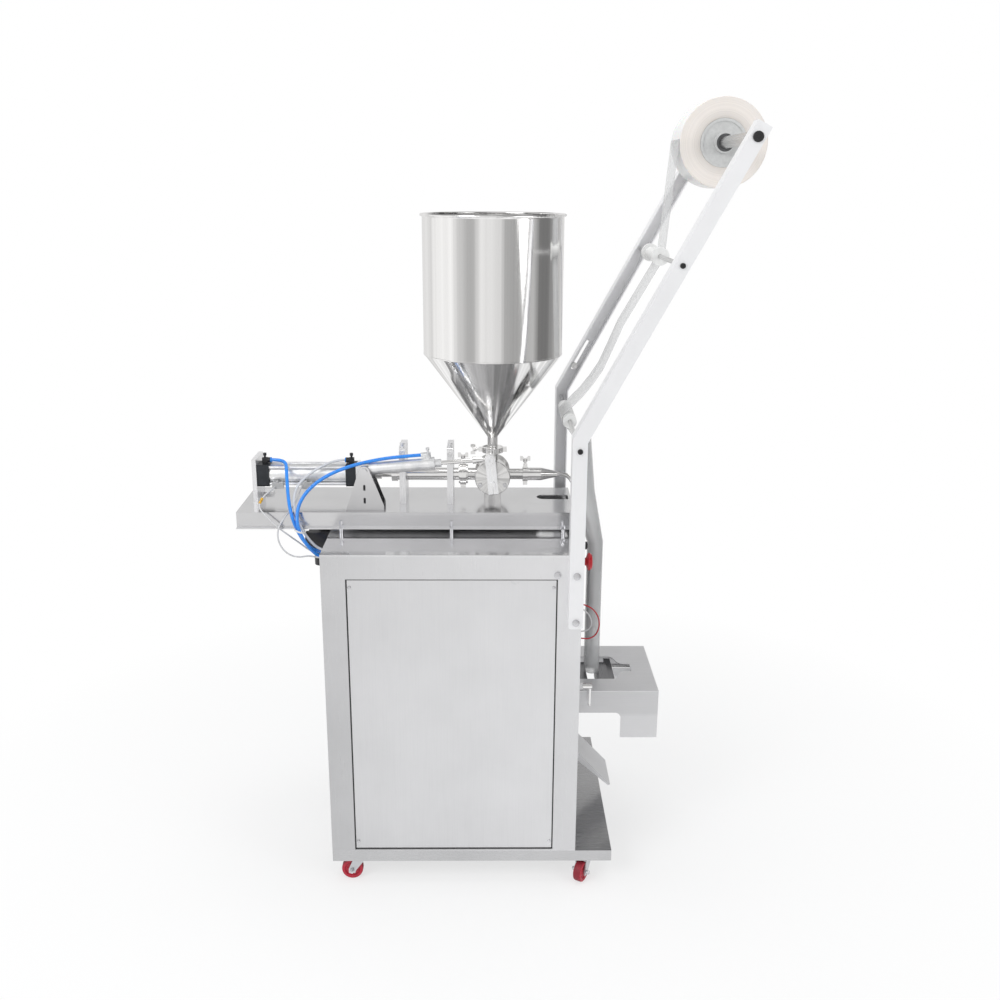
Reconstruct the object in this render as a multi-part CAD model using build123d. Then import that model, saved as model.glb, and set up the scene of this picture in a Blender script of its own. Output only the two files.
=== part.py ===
"""Sachet packing machine: cabinet on casters, piston filler with hopper, film rails, former, jaws and chute.

Millimetres. X points to the film side, Y runs across the cabinet, Z is up.
The origin lies on the floor, in the middle of the machine's overall length and width.
"""
from build123d import *
from math import atan2, cos, degrees, hypot, pi, radians, sin, tan
import os

# Clearances
run_gap = 0.3           # between pieces that turn or slide on each other
seat_gap = 0.3          # between soft or loose pieces and what carries them
sheet = 2.0             # folded stainless sheet

# Casters
wheel_r = 25.0
wheel_w = 20.0
caster_h = 60.0         # floor to the underside of the base tray
caster_trail = 18.0
caster_inset_x = 60.0
caster_inset_y = 28.0
fork_plate = 2.5
fork_gap = 2.0          # wheel side to fork leg
axle_r = 4.0
swivel_r = 17.0

# Base tray and cabinet
cab_len = 565.0
cab_wid = 538.0
cab_h = 726.0
pan_h = 27.0
pan_front = 85.0        # the tray runs on in front of the cabinet
pan_flange = 24.0
top_t = 3.0
stile = 53.0            # face width of the cabinet's frame
stile_low = 4.0
frame_flange = 24.0     # turned-in edge at the frame's top and foot
panel_seat = 12.0       # flange that a cover lies on
front_band = 110.0      # deeper band at the top of the front, with the controls
panel_t = 1.5
panel_gap = 3.0
panel_inset = 3.0
panel_notch = 9.0

# Film rails
rail_w = 31.0
rail_d = 38.0
rail_t = 2.5
rail_foot = 155.5       # rail's lower end below the table top
rail_bend = 259.0       # bend above the table top
rail_lean = 28.5        # degrees forward from upright
rail_leg = 700.0
roll_along = 673.0      # roll shaft, from the bend along the rail
guide_along = 400.0     # upper guide roller
guide_drop = 22.0       # lower guide roller below the bend
rail_bolt_r = 4.0
slot_from = 58.0
slot_to = 135.0
slot_w = 7.0

# Film roll and rollers
roll_r = 95.5
roll_w = 121.0
roll_y = 62.0           # roll's middle, from the machine's middle
core_r = 51.0
roll_shaft_r = 12.5
disc_t = 5.0
hub_r = 22.0
hub_len = 14.0
guide_shaft_r = 5.0
upper_roller_r = 13.0
upper_roller_w = 168.0
collar_r = 20.0
collar_t = 14.0
lower_roller_r = 16.0
lower_roller_w = 180.0
guide_y = 62.0
film_w = 116.0
film_t = 0.8

# Forming tube, collar and filling pipe
tube_reach = 53.0       # tube axis in front of the cabinet
tube_r = 17.0
tube_t = 1.5
tube_clear = 112.0      # tube's lower end above the jaws' middle
pipe_clear = 64.0       # filling pipe's outlet above the jaws' middle
collar_drop = 59.0      # collar's lower edge below the table top
neck_len = 130.0        # narrow part of the collar
mouth_len = 120.0       # widening part of the collar
pipe_r = 5.0
pipe_bore_r = 3.8
arm_up = 24.0           # collar's arm above its lower edge
pipe_fall = 124.0       # height that the slanted part of the pipe drops

# Filler tray
tray_over = 209.0       # tray runs on behind the cabinet
tray_short = 8.0        # tray stops behind the cabinet's front
tray_wid = 212.0
tray_y = -9.0
tray_gap = 11.0
tray_h = 37.0
tray_lip = 10.0
tray_slot_len = 81.0
tray_slot_w = 38.0
tray_slot_y = 14.0

# Filler line
axis_h = 60.5           # filler axis above its tray
valve_back = 194.0      # valve axis behind the cabinet's front
valve_r = 36.0
valve_half = 32.0
cover_r = 40.8
cover_t = 8.0
port_r = 14.0
spool_r = 22.0
stem_r = 6.0
foot_len = 40.0
foot_wid = 42.0
metering_r = 14.5
metering_t = 2.0
metering_len = 160.0
clamp_r = 25.2
clamp_w = 14.0
nozzle_clamp_r = 17.0
stub_len = 21.0
support_t = 14.0
support_wid = 90.0
support_h = 134.0
support_pos = (-208.0, -98.0)
cyl_cap = 51.0
cyl_rear_len = 28.0
cyl_front_len = 24.0
cyl_barrel_len = 178.0
cyl_bore_r = 20.0
cyl_barrel_r = 23.0
cyl_gap = 82.0          # air cylinder to metering cylinder
rod_r = 8.0
piston_stroke = 80.0

# Valve drive: small air cylinder and crank
drive_y = -80.0
crank_r = 56.3
crank_tilt = 5.7        # degrees back from upright in the rest pose
crank_t = 8.0
crank_w = 23.0
pivot_back = 289.7      # rear pivot behind the valve axis
pivot_up = 32.0         # rear pivot above the valve axis
drive_bore_r = 14.0
drive_barrel_len = 104.0
pin_r = 4.0
eye_play = 3.7          # the opened pivot: play of the rod eye round its pin
eye_r = 12.5
bracket_t = 4.0

# Hopper
hop_r = 157.0
hop_t = 1.5
hop_h = 307.0
bead_r = 3.2
rim_r = 162.0
neck_r = 12.0
neck_h = 19.0
cone_h = 195.0
hop_base = 71.5         # neck's lower end above the valve axis

# Sealing jaws, guard and chute
seal_up = 310.0         # middle of the jaws above the base tray
jaw_h = 38.0
jaw_len = 110.0
jaw_open = 13.0         # jaw face to tube axis in the open pose
jaw_travel = 12.0
rear_jaw_t = 24.0
front_jaw_t = 28.0
jaw_rod_r = 6.0
jaw_rod_y = 72.0
jaw_plate_t = 14.0
cutter_t = 2.0
cutter_travel = 10.0
bar_w = 22.0
bar_t = 14.0
bar_clear = 163.0       # upright sealing bar's lower end above the jaws' middle
bar_drop = 96.0         # its upper end below the table top
bar_back = 10.0         # sealing bar to tube in the open pose
bar_travel = 8.0
guard_reach = 201.0
guard_wid = 260.0
guard_up = 30.0         # guard's top above the jaws' middle
guard_arm = 57.0
guard_drop = 122.0
guard_nose = 88.0
guard_corner = 14.0
cut_half = 64.0
cut_len = 99.0
notch_half = 21.0
notch_len = 150.0
chute_wid = 120.0
chute_slope = 46.8
chute_reach = 103.0
chute_lip = 48.0        # chute's lower lip above the base tray
chute_flange = 14.0

# Controls on the front panel
stop_y = -110.0
stop_drop = 71.0        # stop button below the table top
stop_r = 20.0
start_drop = 32.0
start_r = 9.0
lever_y = -150.0
lever_up = 53.0         # lever's axis above the jaws' middle
lever_len = 52.0

# Air and signal lines
air_d = 8.0
clear_d = 6.0
cable_d = 3.6
wire_d = 3.2
gland_y = -122.0
gland_drop = 56.0       # grommet below the table top
gland_r = 30.0

# Worked out from the driving sizes
lean = radians(rail_lean)
rail_mid_back = rail_w / 2
roll_reach = roll_along * sin(lean) - rail_mid_back + roll_r
rear_reach = cab_len + tray_over
x_front = (rear_reach - roll_reach) / 2
x_rear = x_front - cab_len
half_w = cab_wid / 2
cab_z = caster_h + pan_h
table_z = cab_z + cab_h + top_t
rail_x = x_front - rail_mid_back
bend_z = table_z + rail_bend
roll_x = rail_x + roll_along * sin(lean)
roll_z = bend_z + roll_along * cos(lean)
guide_x = rail_x + guide_along * sin(lean)
guide_z = bend_z + guide_along * cos(lean)
low_z = bend_z - guide_drop
web_y = half_w + rail_d - rail_t
rail_bolt_z = (table_z - rail_foot + 15, table_z - rail_foot + 121)
tube_x = x_front + tube_reach
collar_low = table_z - collar_drop
collar_mid = collar_low + neck_len
collar_top = collar_mid + mouth_len
seal_z = cab_z + seal_up
tube_low = seal_z + tube_clear
pipe_low = seal_z + pipe_clear
bar_low = seal_z + bar_clear
bar_high = table_z - bar_drop
guard_top = seal_z + guard_up
chute_lip_z = cab_z + chute_lip
stop_z = table_z - stop_drop
start_z = table_z - start_drop
lever_z = seal_z + lever_up
gland_z = table_z - gland_drop
tray_top = table_z + tray_gap + tray_h
axis_z = tray_top + axis_h
valve_x = x_front - valve_back
pivot_x = valve_x - pivot_back
pivot_z = axis_z + pivot_up
pin_x = valve_x - crank_r * sin(radians(crank_tilt))
pin_z = axis_z + crank_r * cos(radians(crank_tilt))
drive_angle = degrees(atan2(pin_z - pivot_z, pin_x - pivot_x))
drive_len = hypot(pin_x - pivot_x, pin_z - pivot_z)
clamp_x = valve_x - cover_r - stub_len
metering_x = clamp_x - clamp_w
metering_rear = metering_x - metering_len
cyl_front = metering_rear - cyl_gap
cyl_barrel_front = cyl_front - cyl_front_len
cyl_barrel_rear = cyl_barrel_front - cyl_barrel_len
cyl_rear = cyl_barrel_rear - cyl_rear_len
panel_y = half_w - panel_inset
panel_front = x_front - panel_inset
os.makedirs("parts", exist_ok=True)


def box(x0, x1, y0, y1, z0, z1):
    """A box between two corners."""
    return Pos((x0 + x1) / 2, (y0 + y1) / 2, (z0 + z1) / 2) * Box(x1 - x0, y1 - y0, z1 - z0)


def rod_x(x0, x1, y, z, r):
    """A round bar along X."""
    return Pos((x0 + x1) / 2, y, z) * Rot(0, 90, 0) * Cylinder(r, x1 - x0)


def rod_y(y0, y1, x, z, r):
    """A round bar along Y."""
    return Pos(x, (y0 + y1) / 2, z) * Rot(90, 0, 0) * Cylinder(r, y1 - y0)


def rod_z(z0, z1, x, y, r):
    """A round bar along Z."""
    return Pos(x, y, (z0 + z1) / 2) * Cylinder(r, z1 - z0)


def hex_y(y0, y1, x, z, r):
    """A hexagon head or nut along Y."""
    face = Plane((x, y0, z), x_dir=(1, 0, 0), z_dir=(0, 1, 0)) * RegularPolygon(r, 6)
    return extrude(face, y1 - y0)


def hex_z(z0, z1, x, y, r):
    """A hexagon head or nut along Z."""
    return extrude(Pos(x, y, z0) * RegularPolygon(r, 6), z1 - z0)


def plate_xz(points, y0, y1):
    """A flat plate cut to an outline in X and Z, thick along Y."""
    face = make_face(Polyline(*[(x, y0, z) for x, z in points], close=True))
    return extrude(face, y1 - y0, dir=(0, 1, 0))


def turned(points, place):
    """A ring or solid turned from a radius and height outline about Z, then placed."""
    face = make_face(Polyline(*[(r, 0, z) for r, z in points], close=True))
    return place * revolve(face, Axis.Z)


def along_lean(s, across=0.0):
    """A point in X and Z on the leaning part of the rail."""
    return (rail_x + s * sin(lean) + across * cos(lean), bend_z + s * cos(lean) - across * sin(lean))


def save(name, *solids):
    """Write the separate solids of one named node."""
    flat = []
    for item in solids:
        flat.extend(item.solids())
    shape = flat[0] if len(flat) == 1 else Compound(children=flat)
    export_step(shape, f"parts/{name}.step")


def base_tray():
    """Folded tray with its edge turned down and back in, and a pad over each caster."""
    x1 = x_front + pan_front
    pan = box(x_rear, x1, -half_w, half_w, caster_h, cab_z)
    pan -= box(x_rear + sheet, x1 - sheet, -half_w + sheet, half_w - sheet, caster_h + sheet, cab_z - sheet)
    inner = box(x_rear + pan_flange, x1 - pan_flange, -half_w + pan_flange, half_w - pan_flange,
                caster_h - 1, caster_h + sheet + 1)
    pan -= inner
    for cx, cy in caster_places():
        pad = box(cx - 38, cx + 38, cy - 32, cy + 32, caster_h, caster_h + sheet)
        pan += pad & box(x_rear, x1, -half_w, half_w, caster_h, cab_z)
    save("base_tray", pan)


def caster_places():
    """Swivel axes of the casters, near rear, near front, far rear, far front."""
    xs = (x_rear + caster_inset_x, x_front + pan_front - caster_inset_x)
    return [(x, y) for y in (-half_w + caster_inset_y, half_w - caster_inset_y) for x in xs]


caster_turn = (180.0, 240.0, 165.0, 20.0)      # where each wheel trails, degrees from +X


def casters():
    """Swivel forks and wheels, each fork and wheel a node of its own."""
    names = ("near_rear", "near_front", "far_rear", "far_front")
    leg_y = wheel_w / 2 + fork_gap
    crown = caster_h - 4.0
    for name, (cx, cy), turn in zip(names, caster_places(), caster_turn):
        place = Pos(cx, cy, 0) * Rot(0, 0, turn)
        leg = [(-14, crown), (14, crown), (caster_trail + 8, wheel_r + 4), (caster_trail + 8, wheel_r - 7),
               (caster_trail - 7, wheel_r - 7), (caster_trail - 9, wheel_r)]
        fork = box(-14, 20, -leg_y - fork_plate, leg_y + fork_plate, crown - fork_plate, crown)
        fork += plate_xz(leg, leg_y, leg_y + fork_plate)
        fork += plate_xz(leg, -leg_y - fork_plate, -leg_y)
        fork += rod_z(crown - 0.5, caster_h - seat_gap, 0, 0, swivel_r)
        fork += rod_y(-leg_y - fork_plate - 3, leg_y + fork_plate + 3, caster_trail, wheel_r, axle_r)
        save(f"caster_fork_{name}", place * fork)
        half = wheel_w / 2
        outline = [(axle_r + run_gap, -half), (9, -half), (11, -half + 3), (wheel_r - 7, -half + 3),
                   (wheel_r - 5, -half), (wheel_r - 2, -half), (wheel_r, -half + 3), (wheel_r, half - 3),
                   (wheel_r - 2, half), (wheel_r - 5, half), (wheel_r - 7, half - 3), (11, half - 3),
                   (9, half), (axle_r + run_gap, half)]
        wheel = turned(outline, Pos(caster_trail, 0, wheel_r) * Rot(90, 0, 0))
        save(f"caster_wheel_{name}", place * wheel)


def window(half_x, half_y, z0, z1, depth, step):
    """Cutters and flange rings for one cover's opening, made lying in a side facing -Y."""
    y0 = -half_y
    y_seat = y0 + depth
    opening = box(-half_x, half_x, y0 - 1, y_seat, z0, z1)
    collar = box(-half_x - sheet, half_x + sheet, y0, y_seat + sheet, z0 - sheet, z1 + sheet)
    hole = box(-half_x + step, half_x - step, y0 - 1, y_seat + sheet + 1, z0 + step, z1 - step)
    return collar, opening + hole


def cabinet_frame():
    """Frame folded from sheet, with a recessed seat for the cover on each of its four sides."""
    z0, z1 = cab_z, cab_z + cab_h
    t = sheet
    body = box(x_rear, x_front, -half_w, half_w, z0, z1)
    body -= box(x_rear + t, x_front - t, -half_w + t, half_w - t, z0 + t, z1 - t)
    f = frame_flange
    body -= box(x_rear + f, x_front - f, -half_w + f, half_w - f, z0 - 1, z1 + 1)
    depth = panel_inset + panel_t
    mid = (x_rear + x_front) / 2
    sides = []
    for turn, half_x, half_y, top in ((0, cab_len / 2, half_w, stile), (180, cab_len / 2, half_w, stile),
                                      (90, half_w, cab_len / 2, front_band), (-90, half_w, cab_len / 2, stile)):
        collar, cut = window(half_x - stile, half_y, z0 + stile_low, z1 - top, depth, panel_seat)
        place = Pos(mid, 0, 0) * Rot(0, 0, turn)
        body += place * collar
        sides.append(place * cut)
    for cut in sides:
        body -= cut
    save("cabinet_frame", body)


def cabinet_top():
    """Polished table top with a small rounded edge."""
    plate = box(x_rear, x_front, -half_w, half_w, table_z - top_t, table_z)
    plate = fillet(plate.edges().group_by(Axis.Z)[-1], 1.2)
    save("cabinet_top", plate)


def cover_panels():
    """Screwed covers let into the frame's two sides and its rear, the rear one with vent slots."""
    z0, z1 = cab_z + stile_low + panel_gap, cab_z + cab_h - stile - panel_gap
    x0, x1 = x_rear + stile + panel_gap, x_front - stile - panel_gap
    covers = []
    for sign in (-1, 1):
        y_out, y_in = sign * panel_y, sign * (panel_y - panel_t)
        cover = box(x0, x1, min(y_out, y_in), max(y_out, y_in), z0, z1)
        notch_x = x_front - stile - 92
        cover -= rod_y(-half_w, half_w, notch_x, z1, panel_notch)
        covers.append(cover)
    y1 = half_w - stile - panel_gap
    rear = box(x_rear + panel_inset, x_rear + panel_inset + panel_t, -y1, y1, z0, z1)
    for row in range(6):
        rear -= box(x_rear, x_rear + 10, -70, 70, z0 + 60 + 22 * row, z0 + 66 + 22 * row)
    save("cover_panels", *covers, rear)


def front_panel():
    """Front cover with the holes that the sealing drives and controls pass through."""
    z0, z1 = cab_z + stile_low + panel_gap, cab_z + cab_h - front_band - panel_gap
    y1 = half_w - stile - panel_gap
    panel = box(panel_front - panel_t, panel_front, -y1, y1, z0, z1)
    for y in (-jaw_rod_y, jaw_rod_y):
        panel -= rod_x(x_front - 40, x_front + 5, y, seal_z, jaw_rod_r)
    panel -= rod_x(x_front - 40, x_front + 5, 0, seal_z, 11)
    panel -= rod_x(x_front - 40, x_front + 5, 0, (bar_low + bar_high) / 2, 7)
    save("front_panel", panel)


def fasteners():
    """Cover screws, rail bolts and the bolts that hold the filler tray."""
    bits = []
    z_screw = cab_z + cab_h - stile - 20
    x0, x1 = x_rear + stile + 8, x_front - stile - 8
    z_low = cab_z + 24
    for sign in (-1, 1):
        for x in (x0, x1):
            for z in (z_screw, z_low):
                y = sign * panel_y
                bits.append(rod_y(min(y, y + sign * 2.2), max(y, y + sign * 2.2), x, z, 3.5))
        y = sign * half_w
        x_bolt, z_bolt = x_front - 54, table_z - 46
        bits.append(rod_y(min(y, y + sign * 3), max(y, y + sign * 3), x_bolt, z_bolt, 7))
        for z in rail_bolt_z:
            y0 = sign * half_w
            head = sign * (web_y + rail_t)
            top = head + sign * 4
            bits.append(rod_y(min(y0, top), max(y0, top), rail_x, z, rail_bolt_r)
                        + rod_y(min(head, top), max(head, top), rail_x, z, 7))
    lip_z = table_z + tray_gap + sheet
    for sign in (-1, 1):
        y = tray_y + sign * (tray_wid / 2 + tray_lip / 2)
        for x in (x_rear + 28, x_rear + 278, x_front - 34):
            bolt = rod_z(table_z, lip_z + 12, x, y, 2.5) + hex_z(lip_z, lip_z + 5, x, y, 4.6)
            bolt += rod_z(table_z, table_z + tray_gap, x, y, 5) + rod_z(lip_z + 10, lip_z + 16, x, y, 4)
            bits.append(bolt)
    save("fasteners", *bits)


def rail(sign):
    """Bent channel rail with a mitred bend, open towards the machine's middle."""
    w = rail_w / 2
    foot = table_z - rail_foot
    cut = w * tan(lean / 2)
    top_l = along_lean(rail_leg, -w)
    top_r = along_lean(rail_leg, w)
    outline = [(rail_x - w, foot), (rail_x + w, foot), (rail_x + w, bend_z - cut), top_r, top_l,
               (rail_x - w, bend_z + cut)]
    y_in, y_out = sign * half_w, sign * (half_w + rail_d)
    bar = plate_xz(outline, min(y_in, y_out), max(y_in, y_out))
    foot_edges = [e for e in bar.edges().filter_by(Axis.Y) if e.center().Z < foot + 1]
    bar = fillet(foot_edges, 5)
    v = w - rail_t
    cut_in = v * tan(lean / 2)
    hollow_end = rail_leg - rail_t
    inner = [(rail_x - v, foot + rail_t), (rail_x + v, foot + rail_t), (rail_x + v, bend_z - cut_in),
             along_lean(hollow_end, v), along_lean(hollow_end, -v), (rail_x - v, bend_z + cut_in)]
    y_web = sign * web_y
    y_far = sign * (half_w - 1)
    bar -= plate_xz(inner, min(y_far, y_web), max(y_far, y_web))
    for z in rail_bolt_z:
        bar -= rod_y(min(y_web, y_out) - 1, max(y_web, y_out) + 1, rail_x, z, rail_bolt_r)
    if sign > 0:
        a = along_lean(slot_from)
        b = along_lean(slot_to)
        slot = rod_y(half_w, half_w + rail_d + 1, a[0], a[1], slot_w / 2)
        slot += rod_y(half_w, half_w + rail_d + 1, b[0], b[1], slot_w / 2)
        side = [along_lean(slot_from, -slot_w / 2), along_lean(slot_to, -slot_w / 2),
                along_lean(slot_to, slot_w / 2), along_lean(slot_from, slot_w / 2)]
        slot += plate_xz(side, half_w, half_w + rail_d + 1)
        bar -= slot
    return bar


def film_shafts():
    """Roll shaft and the two guide roller shafts, each bolted between the rails' webs."""
    y = web_y
    roll = rod_y(-y, y, roll_x, roll_z, roll_shaft_r)
    heads = []
    for sign in (-1, 1):
        y0 = sign * (web_y + rail_t)
        y1 = y0 + sign * 2.5
        heads.append(rod_y(min(y0, y1), max(y0, y1), roll_x, roll_z, 10))
        for x, z in ((guide_x, guide_z), (rail_x, low_z)):
            heads.append(rod_y(min(y0, y1), max(y0, y1), x, z, 5))
    upper = rod_y(-y, y, guide_x, guide_z, guide_shaft_r)
    lower = rod_y(-y, y, rail_x, low_z, guide_shaft_r)
    sx, sz = along_lean(slot_from + 8)
    clamp = rod_y(web_y - 12, web_y, sx, sz, 8) + rod_y(web_y, web_y + rail_t + 1, sx, sz, slot_w / 2 - 0.2)
    clamp += rod_y(web_y + rail_t, web_y + rail_t + 2.5, sx, sz, 6)
    save("film_shafts", roll, upper, lower, clamp, *heads)


def film_roll():
    """Wound film on its core, held by two discs on the shaft."""
    half = roll_w / 2
    wound = rod_y(roll_y - half, roll_y + half, roll_x, roll_z, roll_r)
    wound -= rod_y(roll_y - half - 1, roll_y + half + 1, roll_x, roll_z, core_r)
    save("film_roll", wound)
    discs = []
    for sign in (-1, 1):
        y0 = roll_y + sign * half
        y1 = y0 + sign * hub_len
        y2 = y0 - sign * disc_t
        disc = rod_y(min(y0, y2), max(y0, y2), roll_x, roll_z, core_r)
        y3 = y0 - sign * 2
        disc -= rod_y(min(y0, y3), max(y0, y3), roll_x, roll_z, core_r - 6)
        disc += rod_y(min(y1, y3), max(y1, y3), roll_x, roll_z, hub_r)
        disc -= rod_y(min(y1, y2) - 1, max(y1, y2) + 1, roll_x, roll_z, roll_shaft_r + run_gap)
        discs.append(disc)
    tube = rod_y(roll_y - half + disc_t, roll_y + half - disc_t, roll_x, roll_z, core_r)
    tube -= rod_y(roll_y - half, roll_y + half, roll_x, roll_z, core_r - 4)
    save("roll_holder", *discs, tube)


def guide_rollers():
    """Upper roller with a collar at each end, and the plain lower roller."""
    y0, y1 = guide_y - upper_roller_w / 2, guide_y + upper_roller_w / 2
    upper = rod_y(y0, y1, guide_x, guide_z, upper_roller_r)
    upper += rod_y(y0, y0 + collar_t, guide_x, guide_z, collar_r)
    upper += rod_y(y1 - collar_t, y1, guide_x, guide_z, collar_r)
    upper -= rod_y(y0 - 1, y1 + 1, guide_x, guide_z, guide_shaft_r + run_gap)
    save("upper_guide_roller", upper)
    y0, y1 = guide_y + 12 - lower_roller_w / 2, guide_y + 12 + lower_roller_w / 2
    lower = rod_y(y0, y1, rail_x, low_z, lower_roller_r)
    lower -= rod_y(y0 - 1, y1 + 1, rail_x, low_z, guide_shaft_r + run_gap)
    save("lower_guide_roller", lower)


def crescent(x_mid, z, r, half_angle, wall):
    """A C-shaped band seen from above, open to the rear, its front at x_mid + r."""
    a = radians(half_angle)
    outer = [(x_mid + r * cos(t), r * sin(t)) for t in (-a, 0, a)]
    s = r - wall
    inner = [(x_mid + s * cos(t), s * sin(t)) for t in (a, 0, -a)]
    lines = [ThreePointArc(*[(x, y, z) for x, y in outer]), Line((*outer[2], z), (*inner[0], z)),
             ThreePointArc(*[(x, y, z) for x, y in inner]), Line((*inner[2], z), (*outer[0], z))]
    return make_face(Wire(lines))


def former_sections(grow, wall):
    """Sections of the former from the forming tube up to the collar's wide mouth."""
    rows = [(collar_low, 0.0, tube_r, 160.0), (collar_mid, -11.0, 34.0, 105.0), (collar_top, -16.0, 62.0, 66.0)]
    out = []
    for z, shift, r, half in rows:
        front = tube_x + tube_r + grow + shift * 2.2 * (z > collar_low)
        out.append(crescent(front - (r + grow), z, r + grow, half, wall))
    return out


def bag_former():
    """Folding collar, forming tube below it, and the bracket that holds both."""
    collar = loft(former_sections(0, tube_t), ruled=True)
    tube = rod_z(tube_low, collar_low, tube_x, 0, tube_r)
    tube -= rod_z(tube_low - 1, collar_low + 1, tube_x, 0, tube_r - tube_t)
    arm_z = collar_low + arm_up
    arm = box(x_front, tube_x - tube_r - 3, -11, 11, arm_z - 4, arm_z + 4)
    plate = box(x_front, x_front + 4, -34, 34, table_z - 70, arm_z + 4)
    save("bag_former", collar + tube + plate + arm)


def filling_pipe():
    """Bent pipe from the nozzle's reducer down the middle of the forming tube."""
    x0 = nozzle_end()
    path = FilletPolyline((x0, 0, axis_z), (x0 + 20, 0, axis_z), (tube_x, 0, axis_z - pipe_fall),
                          (tube_x, 0, pipe_low), radius=[30, 80])
    ring = Plane((x0, 0, axis_z), x_dir=(0, 1, 0), z_dir=(1, 0, 0))
    outer = sweep(ring * Circle(pipe_r), path=path)
    inner = sweep(ring * Circle(pipe_bore_r), path=path)
    save("filling_pipe", outer - inner)


def nozzle_end():
    """X of the reducer's small end."""
    return valve_x + cover_r + 36 + 13 + 24 + 44


def film_web():
    """Plain solids for the film: two free runs between the rollers."""
    gap = seat_gap + film_t / 2
    y0, y1 = roll_y - film_w / 2, roll_y + film_w / 2
    dx, dz = roll_x - guide_x, roll_z - guide_z
    dist = hypot(dx, dz)
    base = atan2(dx, dz)
    reach = roll_r + upper_roller_r + 2 * gap
    turn = atan2(reach, (dist ** 2 - reach ** 2) ** 0.5)
    tilt = base - turn
    top = (roll_x - (roll_r + gap) * cos(tilt), roll_z + (roll_r + gap) * sin(tilt))
    low = (guide_x + (upper_roller_r + gap) * cos(tilt), guide_z - (upper_roller_r + gap) * sin(tilt))
    upper = ribbon(low, top, y0, y1)
    knee = (rail_x + 34, bend_z + 37)
    over = tangent_point(knee, 1)
    sag = [(guide_x - 2, guide_z - upper_roller_r - gap - 6), (rail_x + 114, bend_z + 187),
           (rail_x + 75, bend_z + 95), knee, over]
    spans = [ribbon(a, b, y0, y1) for a, b in zip(sag, sag[1:])]
    lower = spans[0]
    for span in spans[1:]:
        lower += span
    edge = (x_front + 2, collar_top + 2)
    down = ribbon(tangent_point(edge, -1), edge, -film_w / 2, film_w / 2)
    skin = loft(former_sections(seat_gap + film_t, film_t), ruled=True)
    arm_z = collar_low + arm_up
    skin -= box(x_front, tube_x - tube_r, -12, 12, arm_z - 5, arm_z + 5)
    save("film_web", upper, lower, down, skin, film_tube())


def tangent_point(p, side):
    """Where a straight run of film from a point in X and Z meets the lower roller's rear."""
    reach = lower_roller_r + seat_gap + film_t / 2
    dx, dz = p[0] - rail_x, p[1] - low_z
    turn = atan2(dz, dx) + side * atan2((dx * dx + dz * dz - reach * reach) ** 0.5, reach)
    return (rail_x + reach * cos(turn), low_z + reach * sin(turn))


def ribbon(a, b, y0, y1):
    """A thin flat strip of film between two points in X and Z."""
    dx, dz = b[0] - a[0], b[1] - a[1]
    n = hypot(dx, dz)
    px, pz = -dz / n * film_t / 2, dx / n * film_t / 2
    pts = [(a[0] + px, a[1] + pz), (b[0] + px, b[1] + pz), (b[0] - px, b[1] - pz), (a[0] - px, a[1] - pz)]
    return plate_xz(pts, y0, y1)


def film_tube():
    """Film wrapped round the forming tube, down to the jaws."""
    r = tube_r + seat_gap
    low = seal_z + jaw_h / 2 + 2
    wrap = rod_z(low, collar_low, tube_x, 0, r + film_t) - rod_z(low - 1, collar_low, tube_x, 0, r)
    return wrap


def filler_tray():
    """Folded tray for the filler, its edge turned down and out, with a slot at its front end."""
    x0, x1 = x_rear - tray_over, x_front - tray_short
    y0, y1 = tray_y - tray_wid / 2, tray_y + tray_wid / 2
    z0, z1 = table_z + tray_gap, tray_top
    pan = box(x0, x1, y0, y1, z0, z1)
    pan -= box(x0 + sheet, x1 - sheet, y0 + sheet, y1 - sheet, z0 - 1, z1 - sheet)
    for sign in (-1, 1):
        ya = tray_y + sign * tray_wid / 2
        yb = ya + sign * tray_lip
        lip = box(x0, x1, min(ya, yb), max(ya, yb), z0, z0 + sheet)
        for x in (x_rear + 28, x_rear + 278, x_front - 34):
            lip -= rod_z(z0 - 1, z0 + sheet + 1, x, ya + sign * tray_lip / 2, 2.5)
        pan += lip
    slot_x = x1 - tray_slot_len + tray_slot_w / 2
    pan -= rod_z(z1 - 5, z1 + 1, slot_x, tray_slot_y, tray_slot_w / 2)
    pan -= box(slot_x, x1 - 6, tray_slot_y - tray_slot_w / 2, tray_slot_y + tray_slot_w / 2, z1 - 5, z1 + 1)
    save("filler_tray", pan)


def cylinder_supports():
    """Rear plate of the air cylinder and the two split supports of the metering cylinder."""
    half = cyl_cap / 2
    rear = box(cyl_rear - 10, cyl_rear, -half - 4, half + 30, tray_top, axis_z + half + 14)
    rear += box(cyl_rear - 10, cyl_rear + 24, half + 6, half + 30, tray_top, tray_top + 6)
    fronts = box(cyl_front, cyl_front + 6, -half, half, tray_top, axis_z + half)
    fronts -= rod_x(cyl_front - 1, cyl_front + 7, 0, axis_z, rod_r + 3)
    fronts += box(cyl_front + 6, cyl_front + 24, -half, half, tray_top, tray_top + 6)
    posts = []
    for dx in support_pos:
        x = valve_x + dx
        w = support_wid / 2
        post = box(x - support_t / 2, x + support_t / 2, -w, w, tray_top, tray_top + support_h)
        top = [e for e in post.edges().filter_by(Axis.X) if e.center().Z > tray_top + support_h - 1]
        post = fillet(top, 10)
        post -= rod_x(x - support_t, x + support_t, 0, axis_z, metering_r + 0.02)
        post -= box(x - support_t, x + support_t, -1, 1, axis_z, tray_top + support_h + 1)
        bolt_z = tray_top + support_h
        post += rod_z(bolt_z - 0.5, bolt_z + 7, x, -w + 12, 4) + rod_z(bolt_z + 5, bolt_z + 9, x, -w + 12, 6)
        posts.append(post)
    save("cylinder_supports", rear, fronts, *posts)


switch_y = -cyl_cap / 2 + 2.5 - 13     # outer face of the switches on the near lower tie rod
switch_x = (cyl_barrel_rear + 8, cyl_barrel_rear + 74)


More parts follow.
